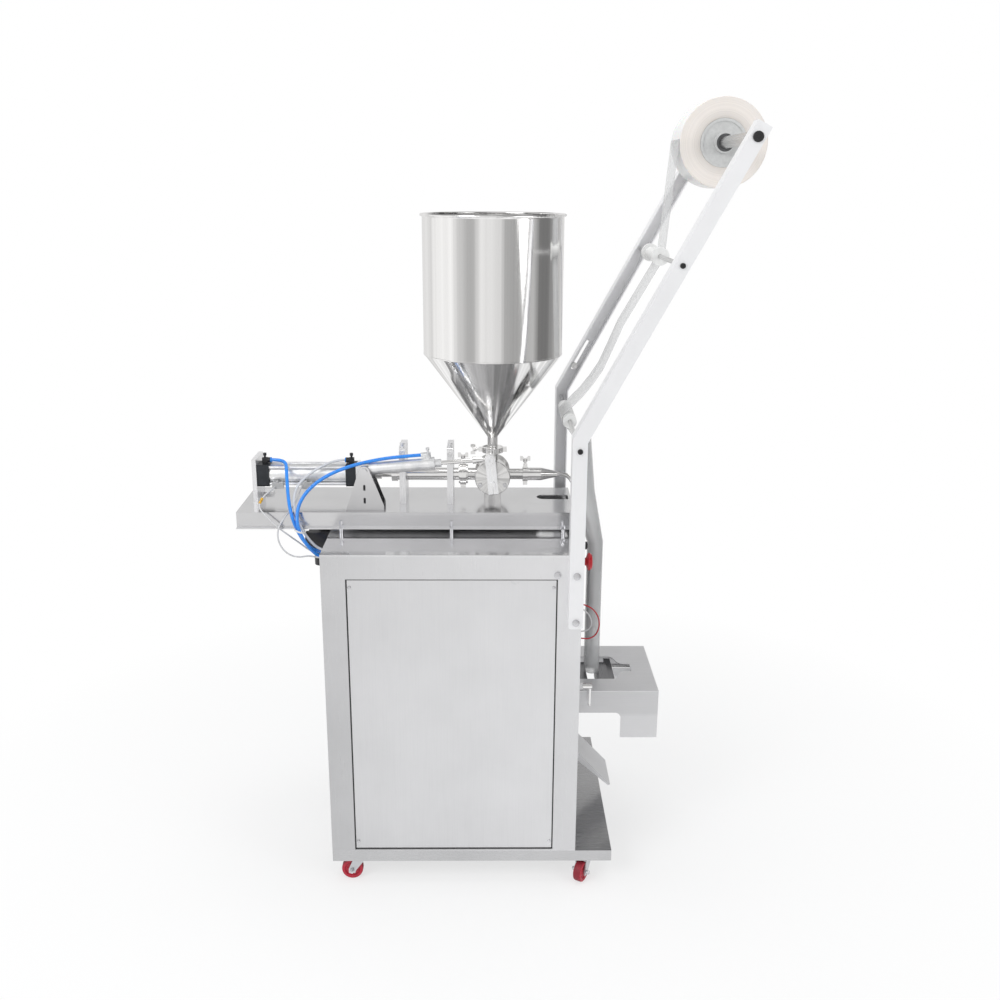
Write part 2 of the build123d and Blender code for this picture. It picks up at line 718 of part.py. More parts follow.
def air_cylinder():
    """Main air cylinder: caps, barrel and tie rods, fittings with flow screws, and two switches."""
    half = cyl_cap / 2
    bore = cyl_bore_r
    rear = box(cyl_rear, cyl_barrel_rear, -half, half, axis_z - half, axis_z + half)
    rear = chamfer(rear.edges().filter_by(Axis.X), 4)
    rear -= rod_x(cyl_barrel_rear - 8, cyl_barrel_rear + 1, 0, axis_z, bore - 4)
    front = box(cyl_barrel_front, cyl_front, -half, half, axis_z - half, axis_z + half)
    front = chamfer(front.edges().filter_by(Axis.X), 4)
    front -= rod_x(cyl_barrel_front - 1, cyl_front + 1, 0, axis_z, rod_r + run_gap)
    save("air_cylinder_caps", rear, front)
    barrel = rod_x(cyl_barrel_rear, cyl_barrel_front, 0, axis_z, cyl_barrel_r)
    barrel -= rod_x(cyl_barrel_rear - 1, cyl_barrel_front + 1, 0, axis_z, bore)
    ties = []
    t = half - 6
    for y in (-t, t):
        for z in (-t, t):
            ties.append(rod_x(cyl_barrel_rear, cyl_barrel_front, y, axis_z + z, 3.5))
    save("air_cylinder_barrel", barrel, *ties)
    fits = []
    for x, face in ((cyl_rear + 16, 1), (cyl_front - 12, -1)):
        z = axis_z + half
        body = rod_z(z, z + 13, x, 0, 6.5) + box(x - 6, x + 6, -6, 6, z + 2, z + 13)
        x1 = x + face * 13
        body += rod_x(min(x, x1), max(x, x1), 0, z + 7.5, 6)
        body += rod_z(z + 13, z + 20, x, 0, 2.5) + rod_z(z + 18, z + 24, x, 0, 4)
        fits.append(body)
    switches = []
    y, z = switch_y, axis_z - half + 6
    for x in switch_x:
        switches.append(box(x, x + 26, y, y + 13, z - 8, z + 6) + box(x + 8, x + 14, y, y + 13, z - 9, z + 9))
    save("air_fittings", *fits, *switches)


def piston_rod():
    """Piston of the air cylinder, the rod with its joint nut, and the metering piston."""
    start = cyl_barrel_rear + 6
    head = rod_x(start, start + 20, 0, axis_z, cyl_bore_r - run_gap)
    end = metering_rear + 12
    head += rod_x(start + 20, end + 2, 0, axis_z, rod_r)
    nut_x = cyl_front + 40
    head += rod_x(nut_x, nut_x + 18, 0, axis_z, 12)
    head += rod_x(end, end + 22, 0, axis_z, metering_r - metering_t - run_gap)
    save("piston_rod", head)


def clevis_bracket():
    """Two shaped plates on a foot, with the pin that carries the valve cylinder."""
    r = 12.0
    half = 20.0
    foot_w = 43.0
    outline_z = tray_top
    near = []
    for sign in (-1, 1):
        y0 = drive_y + sign * half
        y1 = y0 + sign * bracket_t
        a = radians(28)
        pts = [(pivot_x - foot_w, outline_z), (pivot_x + foot_w, outline_z), (pivot_x + foot_w, outline_z + 12),
               (pivot_x + r * cos(a), pivot_z + r * sin(a)), (pivot_x - r * cos(a), pivot_z + r * sin(a)),
               (pivot_x - foot_w + 2, outline_z + 8)]
        plate = plate_xz(pts, min(y0, y1), max(y0, y1)) + rod_y(min(y0, y1), max(y0, y1), pivot_x, pivot_z, r)
        for z in (outline_z + 20, outline_z + 50):
            cut = rod_y(min(y0, y1) - 1, max(y0, y1) + 1, pivot_x, z, 2.6)
            cut += rod_y(min(y0, y1) - 1, max(y0, y1) + 1, pivot_x, z + 9, 2.6)
            cut += box(pivot_x - 2.6, pivot_x + 2.6, min(y0, y1) - 1, max(y0, y1) + 1, z, z + 9)
            plate -= cut
        near.append(plate)
    foot = box(pivot_x - foot_w + 6, pivot_x + foot_w - 6, drive_y - half, drive_y + half,
               outline_z, outline_z + 4)
    y_out = half + bracket_t
    pin = rod_y(drive_y - y_out, drive_y + y_out, pivot_x, pivot_z, pin_r)
    pin += hex_y(drive_y - y_out - 5, drive_y - y_out, pivot_x, pivot_z, 8)
    pin += hex_y(drive_y + y_out, drive_y + y_out + 5, pivot_x, pivot_z, 8)
    body = near[0] + near[1] + foot
    save("clevis_bracket", body + pin)


def drive_place():
    """Frame whose X runs from the rear pivot to the crank pin."""
    return Pos(pivot_x, drive_y, pivot_z) * Rot(0, -drive_angle, 0)


def valve_cylinder():
    """Small round air cylinder that turns the valve, with its fittings."""
    place = drive_place()
    cap = drive_bore_r + 1
    body = rod_x(10, 30, 0, 0, cap) + box(-8, 12, -7, 7, -9, 9) + rod_y(-7, 7, 0, 0, 9)
    body += rod_x(30, 30 + drive_barrel_len, 0, 0, drive_bore_r)
    x2 = 30 + drive_barrel_len
    body += rod_x(x2, x2 + 25, 0, 0, cap) + rod_x(x2 + 25, x2 + 40, 0, 0, 9)
    body -= rod_y(-20, 20, 0, 0, pin_r + run_gap)
    body -= rod_x(60, x2 + 41, 0, 0, 5 + run_gap)
    body -= rod_x(55, x2 + 2, 0, 0, drive_bore_r - 1.5)
    top = rod_z(cap - 2, cap + 12, x2 + 12, 0, 6) + rod_x(x2 - 4, x2 + 12, 0, cap + 7, 5.5)
    top += rod_z(cap + 12, cap + 19, x2 + 12, 0, 2.2) + rod_z(cap + 17, cap + 23, x2 + 12, 0, 4)
    body += top
    save("valve_cylinder", place * body)


def valve_rod():
    """Rod of the valve cylinder with its jam nut and eye."""
    place = drive_place()
    x2 = 30 + drive_barrel_len
    start = 104.0
    rod = rod_x(start, drive_len - 19, 0, 0, 5) + rod_x(start, start + 10, 0, 0, drive_bore_r - 1.5 - run_gap)
    rod += rod_x(drive_len - 20, drive_len - eye_r + 2, 0, 0, 4)
    rod += rod_x(drive_len - 40, drive_len - 32, 0, 0, 8)
    rod += rod_x(drive_len - 32, drive_len - 18, 0, 0, 6.5)
    eye = rod_y(-4, 4, drive_len, 0, eye_r) - rod_y(-5, 5, drive_len, 0, pin_r + eye_play)
    rod = rod - rod_y(-20, 20, drive_len, 0, eye_r - 1)
    save("valve_rod", place * (rod + eye))


def valve():
    """Three-way rotary valve: body with ports and foot, bolted covers, and the spool with its stem."""
    place = Pos(valve_x, 0, axis_z)
    body = rod_y(-valve_half, valve_half, 0, 0, valve_r)
    body += rod_x(-cover_r - stub_len, -valve_r + 8, 0, 0, port_r)
    body += rod_x(-cover_r - stub_len, -cover_r - stub_len + 4, 0, 0, clamp_r - 3)
    body += rod_x(valve_r - 8, cover_r + 34, 0, 0, 12.5)
    body += rod_x(cover_r + 32, cover_r + 36, 0, 0, nozzle_clamp_r - 2)
    body += rod_z(valve_r - 8, hop_base - 16, 0, 0, neck_r + 1)
    body += rod_z(hop_base - 16, hop_base - 12, 0, 0, clamp_r - 3)
    body -= rod_y(-valve_half - 1, valve_half + 1, 0, 0, spool_r + run_gap)
    body -= rod_x(-cover_r - stub_len - 1, 0, 0, 0, port_r - 3)
    body -= rod_x(0, cover_r + 37, 0, 0, 9)
    body -= rod_z(0, hop_base - 11, 0, 0, neck_r - 2)
    foot = box(-foot_len / 2, foot_len / 2, -foot_wid / 2, foot_wid / 2, -axis_h, -valve_r + 4)
    foot -= rod_y(-foot_wid, foot_wid, 0, 0, valve_r)
    save("valve_body", place * (body + foot))
    covers = []
    for sign in (-1, 1):
        y0 = sign * valve_half
        y1 = y0 + sign * cover_t
        cover = rod_y(min(y0, y1), max(y0, y1), 0, 0, cover_r)
        rim = cover.edges().filter_by(GeomType.CIRCLE).sort_by(Axis.Y)[0 if sign < 0 else -1]
        cover = chamfer(rim, 1.2)
        if sign < 0:
            cover -= rod_y(min(y0, y1) - 1, max(y0, y1) + 1, 0, 0, stem_r + run_gap)
        for turn in (90, 210, 330):
            a = radians(turn)
            x, z = 32.8 * cos(a), 32.8 * sin(a)
            y2 = y1 + sign * 2
            cover += rod_y(min(y1, y2), max(y1, y2), x, z, 4)
        covers.append(cover)
    save("valve_covers", place * covers[0], place * covers[1])
    spool = rod_y(-valve_half + 1, valve_half - 1, 0, 0, spool_r)
    spool -= rod_x(-spool_r - 1, 0, 0, 0, port_r - 4)
    spool -= rod_z(0, spool_r + 1, 0, 0, neck_r - 2)
    spool += rod_y(drive_y - 14 - crank_t / 2, -valve_half + 2, 0, 0, stem_r)
    save("valve_spool", place * spool)


def crank():
    """Split crank plate clamped on the valve stem, with its pin and bolt head."""
    y1 = drive_y - 4.5
    y0 = y1 - crank_t
    hub = crank_w / 2
    up = (-sin(radians(crank_tilt)), cos(radians(crank_tilt)))
    side = (up[1], -up[0])
    pts = []
    for along, across in ((-24, -hub), (-24, hub), (crank_r, hub), (crank_r, -hub)):
        pts.append((along * up[0] + across * side[0], along * up[1] + across * side[1]))
    plate = plate_xz(pts, y0, y1) + rod_y(y0, y1, crank_r * up[0], crank_r * up[1], hub)
    plate -= rod_y(y0 - 1, y1 + 1, 0, 0, stem_r)
    slit = [(-26, -0.8), (-26, 0.8), (-5, 0.8), (-5, -0.8)]
    plate -= plate_xz([(a * up[0] + b * side[0], a * up[1] + b * side[1]) for a, b in slit], y0 - 1, y1 + 1)
    x, z = crank_r * up[0], crank_r * up[1]
    pin = rod_y(y1 - 1, drive_y + 7, x, z, pin_r) + rod_y(drive_y + 4.5, drive_y + 8, x, z, 11)
    head = rod_y(y0 - 6, y0, x, z, 7) + rod_y(y0 - 2, y0, x, z, 10.5)
    head -= rod_y(y0 - 7, y0 - 3, x, z, 3)
    save("crank_plate", Pos(valve_x, 0, axis_z) * (plate + pin + head))


def metering_cylinder():
    """Metering cylinder with its rear ring and clamp ferrule."""
    tube = rod_x(metering_rear, metering_x + 1, 0, axis_z, metering_r)
    tube += rod_x(metering_x - 3, metering_x + 1, 0, axis_z, clamp_r - 3)
    tube += rod_x(metering_rear, metering_rear + 14, 0, axis_z, metering_r + 2.5)
    tube -= rod_x(metering_rear - 1, metering_x + 2, 0, axis_z, metering_r - metering_t)
    save("metering_cylinder", tube)


def clamp_ring(r, bore, width):
    """Hinged two-part clamp about X with its bolt, wing nut up and hinge down."""
    ring = rod_x(-width / 2, width / 2, 0, 0, r) - rod_x(-width, width, 0, 0, bore)
    ears = box(-width / 2 + 1, width / 2 - 1, -5, 5, r - 2, r + 7)
    ears += box(-width / 2 + 1, width / 2 - 1, -6, 6, -r - 8, -r + 2)
    ears -= rod_x(-width, width, 0, 0, bore)
    stem = rod_z(r + 6, r + 18, 0, 0, 2.5)
    nut = rod_z(r + 12, r + 19, 0, 0, 5)
    wing = box(-12, 12, -1.5, 1.5, r + 15, r + 26) - rod_y(-3, 3, 0, r + 27, 6)
    return ring + ears + stem + nut + wing


def clamps():
    """Clamps of the metering cylinder, the hopper and the nozzle."""
    first = Pos(clamp_x - clamp_w / 2, 0, axis_z) * clamp_ring(clamp_r, clamp_r - 3, clamp_w)
    hop_z = axis_z + hop_base - 12
    second = Pos(valve_x, 0, hop_z) * Rot(0, -90, 0) * clamp_ring(clamp_r, clamp_r - 3, 12)
    third = Pos(valve_x + cover_r + 36, 0, axis_z) * clamp_ring(nozzle_clamp_r, nozzle_clamp_r - 2, 12)
    save("pipe_clamps", first, second, third)


def hopper():
    """Spun hopper: beaded rim, straight wall, cone and ferrule neck, open right through."""
    z0 = axis_z + hop_base
    z1 = z0 + neck_h
    z2 = z1 + cone_h
    z3 = z2 + hop_h
    outer = [(neck_r, z0 - 8), (neck_r, z1), (hop_r, z2), (hop_r, z3 - 8), (rim_r - bead_r, z3 - bead_r)]
    t = hop_t
    inner = [(rim_r - bead_r, z3 - bead_r + t), (hop_r - t, z3 - 7), (hop_r - t, z2 + 0.5),
             (neck_r - t, z1 + 0.5), (neck_r - t, z0 - 8)]
    shell = turned(outer + inner, Pos(valve_x, 0, 0))
    bead = Pos(valve_x, 0, z3 - bead_r) * Torus(rim_r - bead_r, bead_r)
    ferrule = turned([(neck_r - t, z0 - 12), (clamp_r - 3, z0 - 12), (clamp_r - 3, z0 - 8),
                      (neck_r - t, z0 - 8)], Pos(valve_x, 0, 0))
    save("hopper", shell + bead + ferrule)


def nozzle():
    """Reducer after the clamp, tapering to the filling pipe."""
    x0 = valve_x + cover_r + 36
    x1 = x0 + 13 + 24
    x2 = nozzle_end()
    outline = [(pipe_bore_r, 0), (nozzle_clamp_r - 2, 0), (nozzle_clamp_r - 2, 4), (14.8, 4), (14.8, x1 - x0),
               (pipe_r + 1.5, x2 - x0 - 6), (pipe_r + 1.5, x2 - x0), (pipe_bore_r, x2 - x0)]
    save("nozzle", turned(outline, Pos(x0, 0, axis_z) * Rot(0, 90, 0)))


def jaw_drive():
    """Guide rods, end yoke and the air cylinders behind the front panel."""
    end = x_front + guard_reach - 30
    rods = []
    for y in (-jaw_rod_y, jaw_rod_y):
        rods.append(rod_x(panel_front - 60, end, y, seal_z, jaw_rod_r))
    yoke = box(end, end + 12, -jaw_rod_y - 14, jaw_rod_y + 14, seal_z - 12, seal_z + 12)
    back = box(panel_front - 72, panel_front - 60, -jaw_rod_y - 14, jaw_rod_y + 14, seal_z - 20, seal_z + 20)
    jack = box(panel_front - 152, panel_front - 72, -25, 25, seal_z - 25, seal_z + 25)
    mid = (bar_low + bar_high) / 2
    bar_jack = box(panel_front - 60, panel_front - panel_t, -16, 16, mid - 16, mid + 16)
    bar_jack -= rod_x(panel_front - 50, panel_front + 1, 0, mid, 5 + run_gap)
    wall = half_w - sheet - panel_inset - panel_t
    shelf = box(x_front - 200, x_front - 26, -90, 90, seal_z - 33, seal_z - 25)
    shelf += box(x_front - 63, x_front - 26, -wall, wall, seal_z - 33, seal_z - 25)
    save("jaw_drive", yoke + rods[0] + rods[1] + back + jack + shelf, bar_jack)


def jaws():
    """Rear jaw with the cutter's slot, front jaw on the guide rods, cutter and upright sealing bar."""
    z0, z1 = seal_z - jaw_h / 2, seal_z + jaw_h / 2
    half = jaw_len / 2
    face = tube_x - jaw_open
    rear = box(face - rear_jaw_t, face, -half, half, z0, z1)
    for y in (-1, 1):
        y_ear = y * (jaw_rod_y + 6)
        rear += box(face - rear_jaw_t, face - rear_jaw_t + 12, y_ear - 22, y_ear + 22, seal_z - 12, seal_z + 12)
    rear -= rod_x(face - 60, face + 1, -jaw_rod_y, seal_z, jaw_rod_r + run_gap)
    rear -= rod_x(face - 60, face + 1, jaw_rod_y, seal_z, jaw_rod_r + run_gap)
    slot = cutter_t / 2 + run_gap
    rear -= box(face - rear_jaw_t - 1, face + 1, -half + 8, half - 8, seal_z - slot, seal_z + slot)
    for k in range(5):
        for z in (z0 + 5, z1 - 11):
            rear -= box(face - 0.8, face + 1, -half, half, z + 1.6 * k, z + 1.6 * k + 0.8)
    save("rear_jaw", rear)
    face = tube_x + jaw_open
    front = box(face, face + front_jaw_t, -half, half, z0, z1)
    front += box(face + front_jaw_t - 2, face + front_jaw_t + jaw_plate_t, -jaw_rod_y - 16, jaw_rod_y + 16,
                 seal_z - 14, seal_z + 14)
    for y in (-jaw_rod_y, jaw_rod_y):
        front -= rod_x(face, face + 80, y, seal_z, jaw_rod_r + run_gap)
    front -= box(face - 1, face + 14, -half + 6, half - 6, seal_z - slot - 0.5, seal_z + slot + 0.5)
    for k in range(5):
        for z in (z0 + 5, z1 - 11):
            front -= box(face - 1, face + 0.8, -half, half, z + 1.6 * k, z + 1.6 * k + 0.8)
    save("front_jaw", front)
    tip = tube_x - jaw_open - 4
    t = cutter_t / 2
    back = panel_front + 5
    blade = box(back, tip, -half + 10, half - 10, seal_z - t, seal_z + t)
    blade = chamfer(blade.edges().filter_by(Axis.Y).group_by(Axis.X)[-1], 0.8)
    blade += rod_x(panel_front - 60, back + 1, 0, seal_z, 5)
    save("cutter", blade)
    bar_x = tube_x - tube_r - film_t - seat_gap - bar_back
    bar = box(bar_x - bar_t, bar_x, -bar_w / 2, bar_w / 2, bar_low, bar_high)
    bar = chamfer(bar.edges().filter_by(Axis.Z).group_by(Axis.X)[-1], 5)
    mid = (bar_low + bar_high) / 2
    bar += rod_x(panel_front - 40, bar_x - bar_t + 1, 0, mid, 5)
    save("vertical_sealer", bar)


def guard():
    """Folded guard over the jaws, with its stepped sides, corner radius and shaped cut-out."""
    x0, x1 = panel_front, x_front + guard_reach
    half = guard_wid / 2
    z1 = guard_top
    side = [(x0, z1), (x1, z1), (x1, z1 - guard_drop), (x1 - guard_nose, z1 - guard_drop),
            (x1 - guard_nose, z1 - guard_arm), (x0, z1 - guard_arm)]
    body = plate_xz(side, -half, half)
    edges = body.edges().filter_by(Axis.Y)
    corner = [e for e in edges if abs(e.center().X - x1 + guard_nose) + abs(e.center().Z - z1 + guard_arm) < 1]
    body = fillet(corner, guard_corner)
    body -= box(x0 - 1, x1 - sheet, -half + sheet, half - sheet, z1 - guard_drop - 1, z1 - sheet)
    right = [(x0 - 1, -cut_half), (x_front + cut_len, -cut_half)]
    left = [(x_front + cut_len, cut_half), (x0 - 1, cut_half)]
    tip = x_front + notch_len
    n = notch_half
    lines = [Line(right[0], right[1]),
             Spline(right[1], (tip - 18, -n), tangents=((1, 0.15), (1, 0.15))),
             Line((tip - 18, -n), (tip, -n)), Line((tip, -n), (tip, n)), Line((tip, n), (tip - 18, n)),
             Spline((tip - 18, n), left[0], tangents=((-1, 0.15), (-1, 0.15))),
             Line(left[0], left[1]), Line(left[1], right[0])]
    cutter = extrude(Pos(0, 0, z1 - 5) * make_face(Wire(lines)), 10)
    save("guard", body - cutter)


def chute():
    """Sloping chute with its edges turned down."""
    a = radians(chute_slope)
    x1 = x_front + chute_reach
    rise = (chute_reach + panel_inset) * tan(a)
    z1 = chute_lip_z
    t = sheet
    nx, nz = sin(a), cos(a)
    x0 = panel_front
    top = [(x0, z1 + rise), (x1, z1), (x1 - t * nx, z1 - t * nz), (x0, z1 + rise - t / cos(a))]
    half = chute_wid / 2
    body = plate_xz(top, -half, half)
    f = chute_flange
    edge = [(x0, z1 + rise), (x1, z1), (x1 - 6, z1 - 2), (x0 + 30, z1 + rise - 30 * tan(a) - f / cos(a)),
            (x0, z1 + rise - f / cos(a))]
    for sign in (-1, 1):
        y0 = sign * half
        y1 = y0 - sign * t
        body += plate_xz(edge, min(y0, y1), max(y0, y1))
    save("chute", body)


def controls():
    """Stop button and start button with their collars, and the clamp lever beside the guard."""
    base = rod_x(x_front, x_front + 10, stop_y, stop_z, 15)
    base -= rod_x(x_front - 1, x_front + 11, stop_y, stop_z, 8)
    ring = rod_x(x_front, x_front + 8, stop_y, start_z, 12)
    ring -= rod_x(x_front - 1, x_front + 9, stop_y, start_z, start_r + run_gap)
    stud = rod_x(panel_front, x_front + 18, lever_y, lever_z, 8)
    stud -= rod_x(x_front + 6, x_front + 19, lever_y, lever_z, 4 + run_gap)
    save("control_collars", base, ring, stud)
    head = turned([(0, 36), (12, 36), (17, 34.5), (stop_r, 30), (stop_r, 26), (stop_r - 3, 24), (9, 21), (9, 14.5),
                   (7.7, 14.5), (7.7, 3), (0, 3)], Pos(x_front, stop_y, stop_z) * Rot(0, 90, 0))
    save("emergency_stop", head)
    button = turned([(0, 24), (start_r - 2, 24), (start_r, 22), (start_r, 6), (0, 6)],
                    Pos(x_front, stop_y, start_z) * Rot(0, 90, 0))
    save("start_button", button)
    lever = rod_x(x_front + 7, x_front + 20, lever_y, lever_z, 4)
    lever += rod_x(x_front + 18.3, x_front + 40, lever_y, lever_z, 7)
    lever += rod_z(lever_z - lever_len + 5, lever_z, x_front + 35, lever_y, 3.6)
    lever += Pos(x_front + 35, lever_y, lever_z - lever_len + 5) * Sphere(4.2)
    save("clamp_lever", lever)


def air_service():
    """Air filter and regulator on the rear of the cabinet, and the grommet for the lines."""
    z = table_z - 40
    x1 = x_rear
    bracket = box(x1 - 4, x1, -60, 30, z - 20, z + 24)
    head = box(x1 - 58, x1 - 4, -66, -18, z - 14, z + 24)
    bowl = rod_z(z - 60, z - 14, x1 - 31, -42, 17)
    dial = rod_x(x1 - 66, x1 - 58, -42, z + 5, 15)
    head2 = box(x1 - 54, x1 - 4, -18, 26, z - 10, z + 24)
    knob = rod_z(z + 24, z + 44, x1 - 29, 4, 14)
    bowl2 = rod_z(z - 50, z - 10, x1 - 29, 4, 16)
    inlet = rod_y(26, 40, x1 - 29, z + 6, 8)
    gland = rod_x(x1 - 8, x1, gland_y, gland_z, gland_r)
    gland = fillet(gland.edges().group_by(Axis.X)[0], 3)
    save("air_service_unit", bracket + head + bowl + dial + head2 + knob + bowl2 + inlet, gland)


def cord_tube(name, points, d, least=3.0):
    """A tube along straight runs joined by tangent arcs as large as the runs allow."""
    radii = []
    for a, b, c in zip(points, points[1:], points[2:]):
        u = Vector(*b) - Vector(*a)
        v = Vector(*c) - Vector(*b)
        turn = radians(u.get_angle(v))
        radii.append(0.45 * min(u.length, v.length) / tan(turn / 2))
    path = FilletPolyline(*points, radius=radii)
    start = Vector(*points[0])
    way = Vector(*points[1]) - start
    profile = Plane(origin=start, z_dir=way) * Circle(d / 2)
    tube = sweep(profile, path=path)
    ideal = pi * d * d / 4 * path.length
    note = "" if min(radii) >= least * d else "  tight"
    print(f"{name}: length {path.length:.0f}, radii {[round(r) for r in radii]}")
    print(f"    volume ratio {tube.volume / ideal:.4f}{note}")
    save(name, tube)


def rear_route(*points):
    """Route points given from the cabinet's rear upper edge, as X back from it, Y, and Z from the table top."""
    return [(x_rear - back, y, table_z + up) for back, y, up in points]


def front_route(*points):
    """Route points given from the front panel, as X out of it, Y, and Z below the table top."""
    return [(panel_front + out, y, table_z - down) for out, y, down in points]


x_gland = x_rear - 1.4   # the lines end inside the grommet
air_start_x = cyl_rear + 29
fit_z = axis_z + cyl_cap / 2 + 7.5
blue_rear_route = [(air_start_x, 0, fit_z), (air_start_x + 22.4, 0, fit_z)]
blue_rear_route += rear_route((109.44, -15, 137.5), (104.04, -42, 130.1), (97.94, -74, 100.8),
                              (91.24, -104, 73.9), (82.24, -129, 48.4), (72.64, -134, 19.3),
                              (59.94, -131, -10.1), (44.64, -121, -35), (23.44, -112, -47),
                              (1.4, -112, -54))
clear_start_x = cyl_front - 25
clear_route = [(clear_start_x, 0, fit_z), (clear_start_x - 21.6, 0, fit_z)]
clear_route += rear_route((25.84, -30, 133.3), (52.94, -46, 118.8), (75.04, -66, 99.4),
                          (81.44, -92, 77.5), (76.24, -118, 58), (67.04, -131, 31.4),
                          (54.44, -133, 4.8), (38.14, -129, -20.3), (23.44, -124, -36),
                          (1.4, -124, -44))
rear_cable_route = [(switch_x[0] + 6, switch_y, axis_z - 23.5), (switch_x[0] + 6, switch_y - 16, axis_z - 23.5)]
rear_cable_route += rear_route((152.44, -76, 76), (159.94, -108, 59.6), (142.04, -128, 45.6),
                               (122.54, -131, 25.9), (104.04, -131, 10), (86.34, -122, -8.4),
                               (66.64, -110, -29.1), (46.04, -102, -50), (23.44, -101, -51),
                               (1.4, -101, -53))
front_cable_route = [(switch_x[1] + 3.4, switch_y, axis_z - 20.5), (switch_x[1] + 3.4, switch_y - 18, axis_z - 20.5)]
front_cable_route += rear_route((73.44, -78, 73), (79.24, -98, 60.9), (84.94, -112, 55),
                                (93.64, -123, 44.2), (108.34, -134, 25.2), (113.84, -141, 2.6),
                                (107.84, -144, -22.5), (90.74, -145, -42.4), (67.54, -144, -49.9),
                                (44.14, -141, -46.1), (23.44, -134, -54), (1.4, -134, -56))
red_wire_route = front_route((0, -52, 198), (19.56, -52, 198), (40.56, -50, 206), (56.56, -46, 220),
                             (66.56, -44, 241), (67.56, -44, 263), (59.56, -45, 283),
                             (42.56, -47, 292), (23.56, -50, 288), (0, -50, 288))
white_wire_route = front_route((0, -40, 213), (19.56, -40, 213), (34.56, -41, 222), (45.56, -42, 236),
                               (49.56, -42, 253), (44.56, -41, 269), (28.56, -40, 276), (0, -40, 276))


def drive_point(x, z):
    """A point of the valve cylinder in the machine's frame."""
    a = radians(drive_angle)
    return (pivot_x + x * cos(a) - z * sin(a), drive_y, pivot_z + x * sin(a) + z * cos(a))


def cords():
    """Air tubes, switch cables and heater wires."""
    cord_tube("blue_tube_rear", blue_rear_route, air_d)
    out = 30 + drive_barrel_len - 4 - seat_gap
    route = [drive_point(out, drive_bore_r + 8), drive_point(out - 30, drive_bore_r + 8)]
    route += rear_route((-129.96, -84, 166.8), (-75.96, -88, 157), (-26.66, -94, 142.8),
                        (13.84, -101, 123.8), (42.44, -110, 101.5), (61.04, -120, 77.4),
                        (68.74, -131, 51.4), (66.44, -145, 25.2), (56.24, -145, -5.5),
                        (40.14, -135, -35), (23.44, -123, -55), (1.4, -123, -65))
    cord_tube("blue_tube_front", route, air_d)
    cord_tube("clear_tube", clear_route, clear_d)
    cord_tube("rear_switch_cable", rear_cable_route, cable_d)
    cord_tube("front_switch_cable", front_cable_route, cable_d)
    cord_tube("red_heater_wire", red_wire_route, wire_d)
    cord_tube("white_heater_wire", white_wire_route, wire_d)


base_tray()
casters()
cabinet_frame()
cabinet_top()
cover_panels()
front_panel()
fasteners()
save("film_rail_near", rail(-1))
save("film_rail_far", rail(1))
film_shafts()
film_roll()
guide_rollers()
bag_former()
filling_pipe()
film_web()
filler_tray()
cylinder_supports()
air_cylinder()
piston_rod()
clevis_bracket()
valve_cylinder()
valve_rod()
valve()
crank()
metering_cylinder()
clamps()
hopper()
nozzle()
jaw_drive()
jaws()
guard()
chute()
controls()
air_service()
cords()
print(f"front x {x_front:.2f}  valve ({valve_x:.2f}, {axis_z:.2f})  pivot ({pivot_x:.2f}, {pivot_z:.2f})")
print(f"pin ({pin_x:.2f}, {pin_z:.2f})  drive length {drive_len:.2f} angle {drive_angle:.3f}")
print(f"roll ({roll_x:.2f}, {roll_z:.2f})  guide ({guide_x:.2f}, {guide_z:.2f})  low ({rail_x:.2f}, {low_z:.2f})")
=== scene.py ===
"""Looks of the sachet packing machine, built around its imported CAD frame. Metres, Z up."""
from math import acos, atan2, cos, hypot, pi, radians, sin

import bmesh
import bpy
from bpy.props import FloatProperty, FloatVectorProperty, IntProperty
from mathutils import Matrix, Vector

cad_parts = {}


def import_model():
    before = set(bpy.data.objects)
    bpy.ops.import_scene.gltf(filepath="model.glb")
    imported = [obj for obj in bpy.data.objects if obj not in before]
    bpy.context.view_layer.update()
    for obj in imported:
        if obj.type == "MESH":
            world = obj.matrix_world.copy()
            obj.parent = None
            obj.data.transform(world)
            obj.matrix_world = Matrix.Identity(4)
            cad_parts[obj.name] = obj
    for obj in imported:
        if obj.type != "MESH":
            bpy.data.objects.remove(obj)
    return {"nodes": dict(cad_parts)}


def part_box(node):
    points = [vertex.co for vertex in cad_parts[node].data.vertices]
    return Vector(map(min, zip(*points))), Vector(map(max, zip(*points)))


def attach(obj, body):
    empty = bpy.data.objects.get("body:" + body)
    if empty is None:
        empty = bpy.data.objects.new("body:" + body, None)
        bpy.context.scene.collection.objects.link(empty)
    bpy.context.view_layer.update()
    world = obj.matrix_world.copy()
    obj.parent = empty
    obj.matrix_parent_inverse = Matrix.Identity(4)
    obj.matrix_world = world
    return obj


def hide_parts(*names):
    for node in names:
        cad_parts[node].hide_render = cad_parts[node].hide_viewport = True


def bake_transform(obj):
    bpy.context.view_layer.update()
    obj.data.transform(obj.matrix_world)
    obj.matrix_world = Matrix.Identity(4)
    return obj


bl_info = {
    "name": "Sachet packing machine",
    "version": (1, 0, 0),
    "blender": (4, 5, 0),
    "location": "3D View > Sidebar > Packing machine",
    "description": "Finishes, film, lines and hardware of a sachet packing machine",
    "category": "Object",
}

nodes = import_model()["nodes"]
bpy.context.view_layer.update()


def middle_of(node):
    """Middle of a CAD node's box."""
    low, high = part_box(node)
    return (low + high) / 2


# places that several pieces share, from the CAD frame
top_low, top_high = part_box("cabinet_top")
rear_x, front_x, half_wide, table_z = top_low.x, top_high.x, top_high.y, top_high.z
valve = Vector((front_x - 0.194, 0.0, table_z + 0.1085))
seam_z = table_z + 0.394
roll_mid, upper_mid, lower_mid = map(middle_of, ("film_roll", "upper_guide_roller", "lower_guide_roller"))
roll_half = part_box("film_roll")[1] - roll_mid
corners = ("near_rear", "near_front", "far_rear", "far_front")
x_along, y_along, z_along = 0, 1, 2


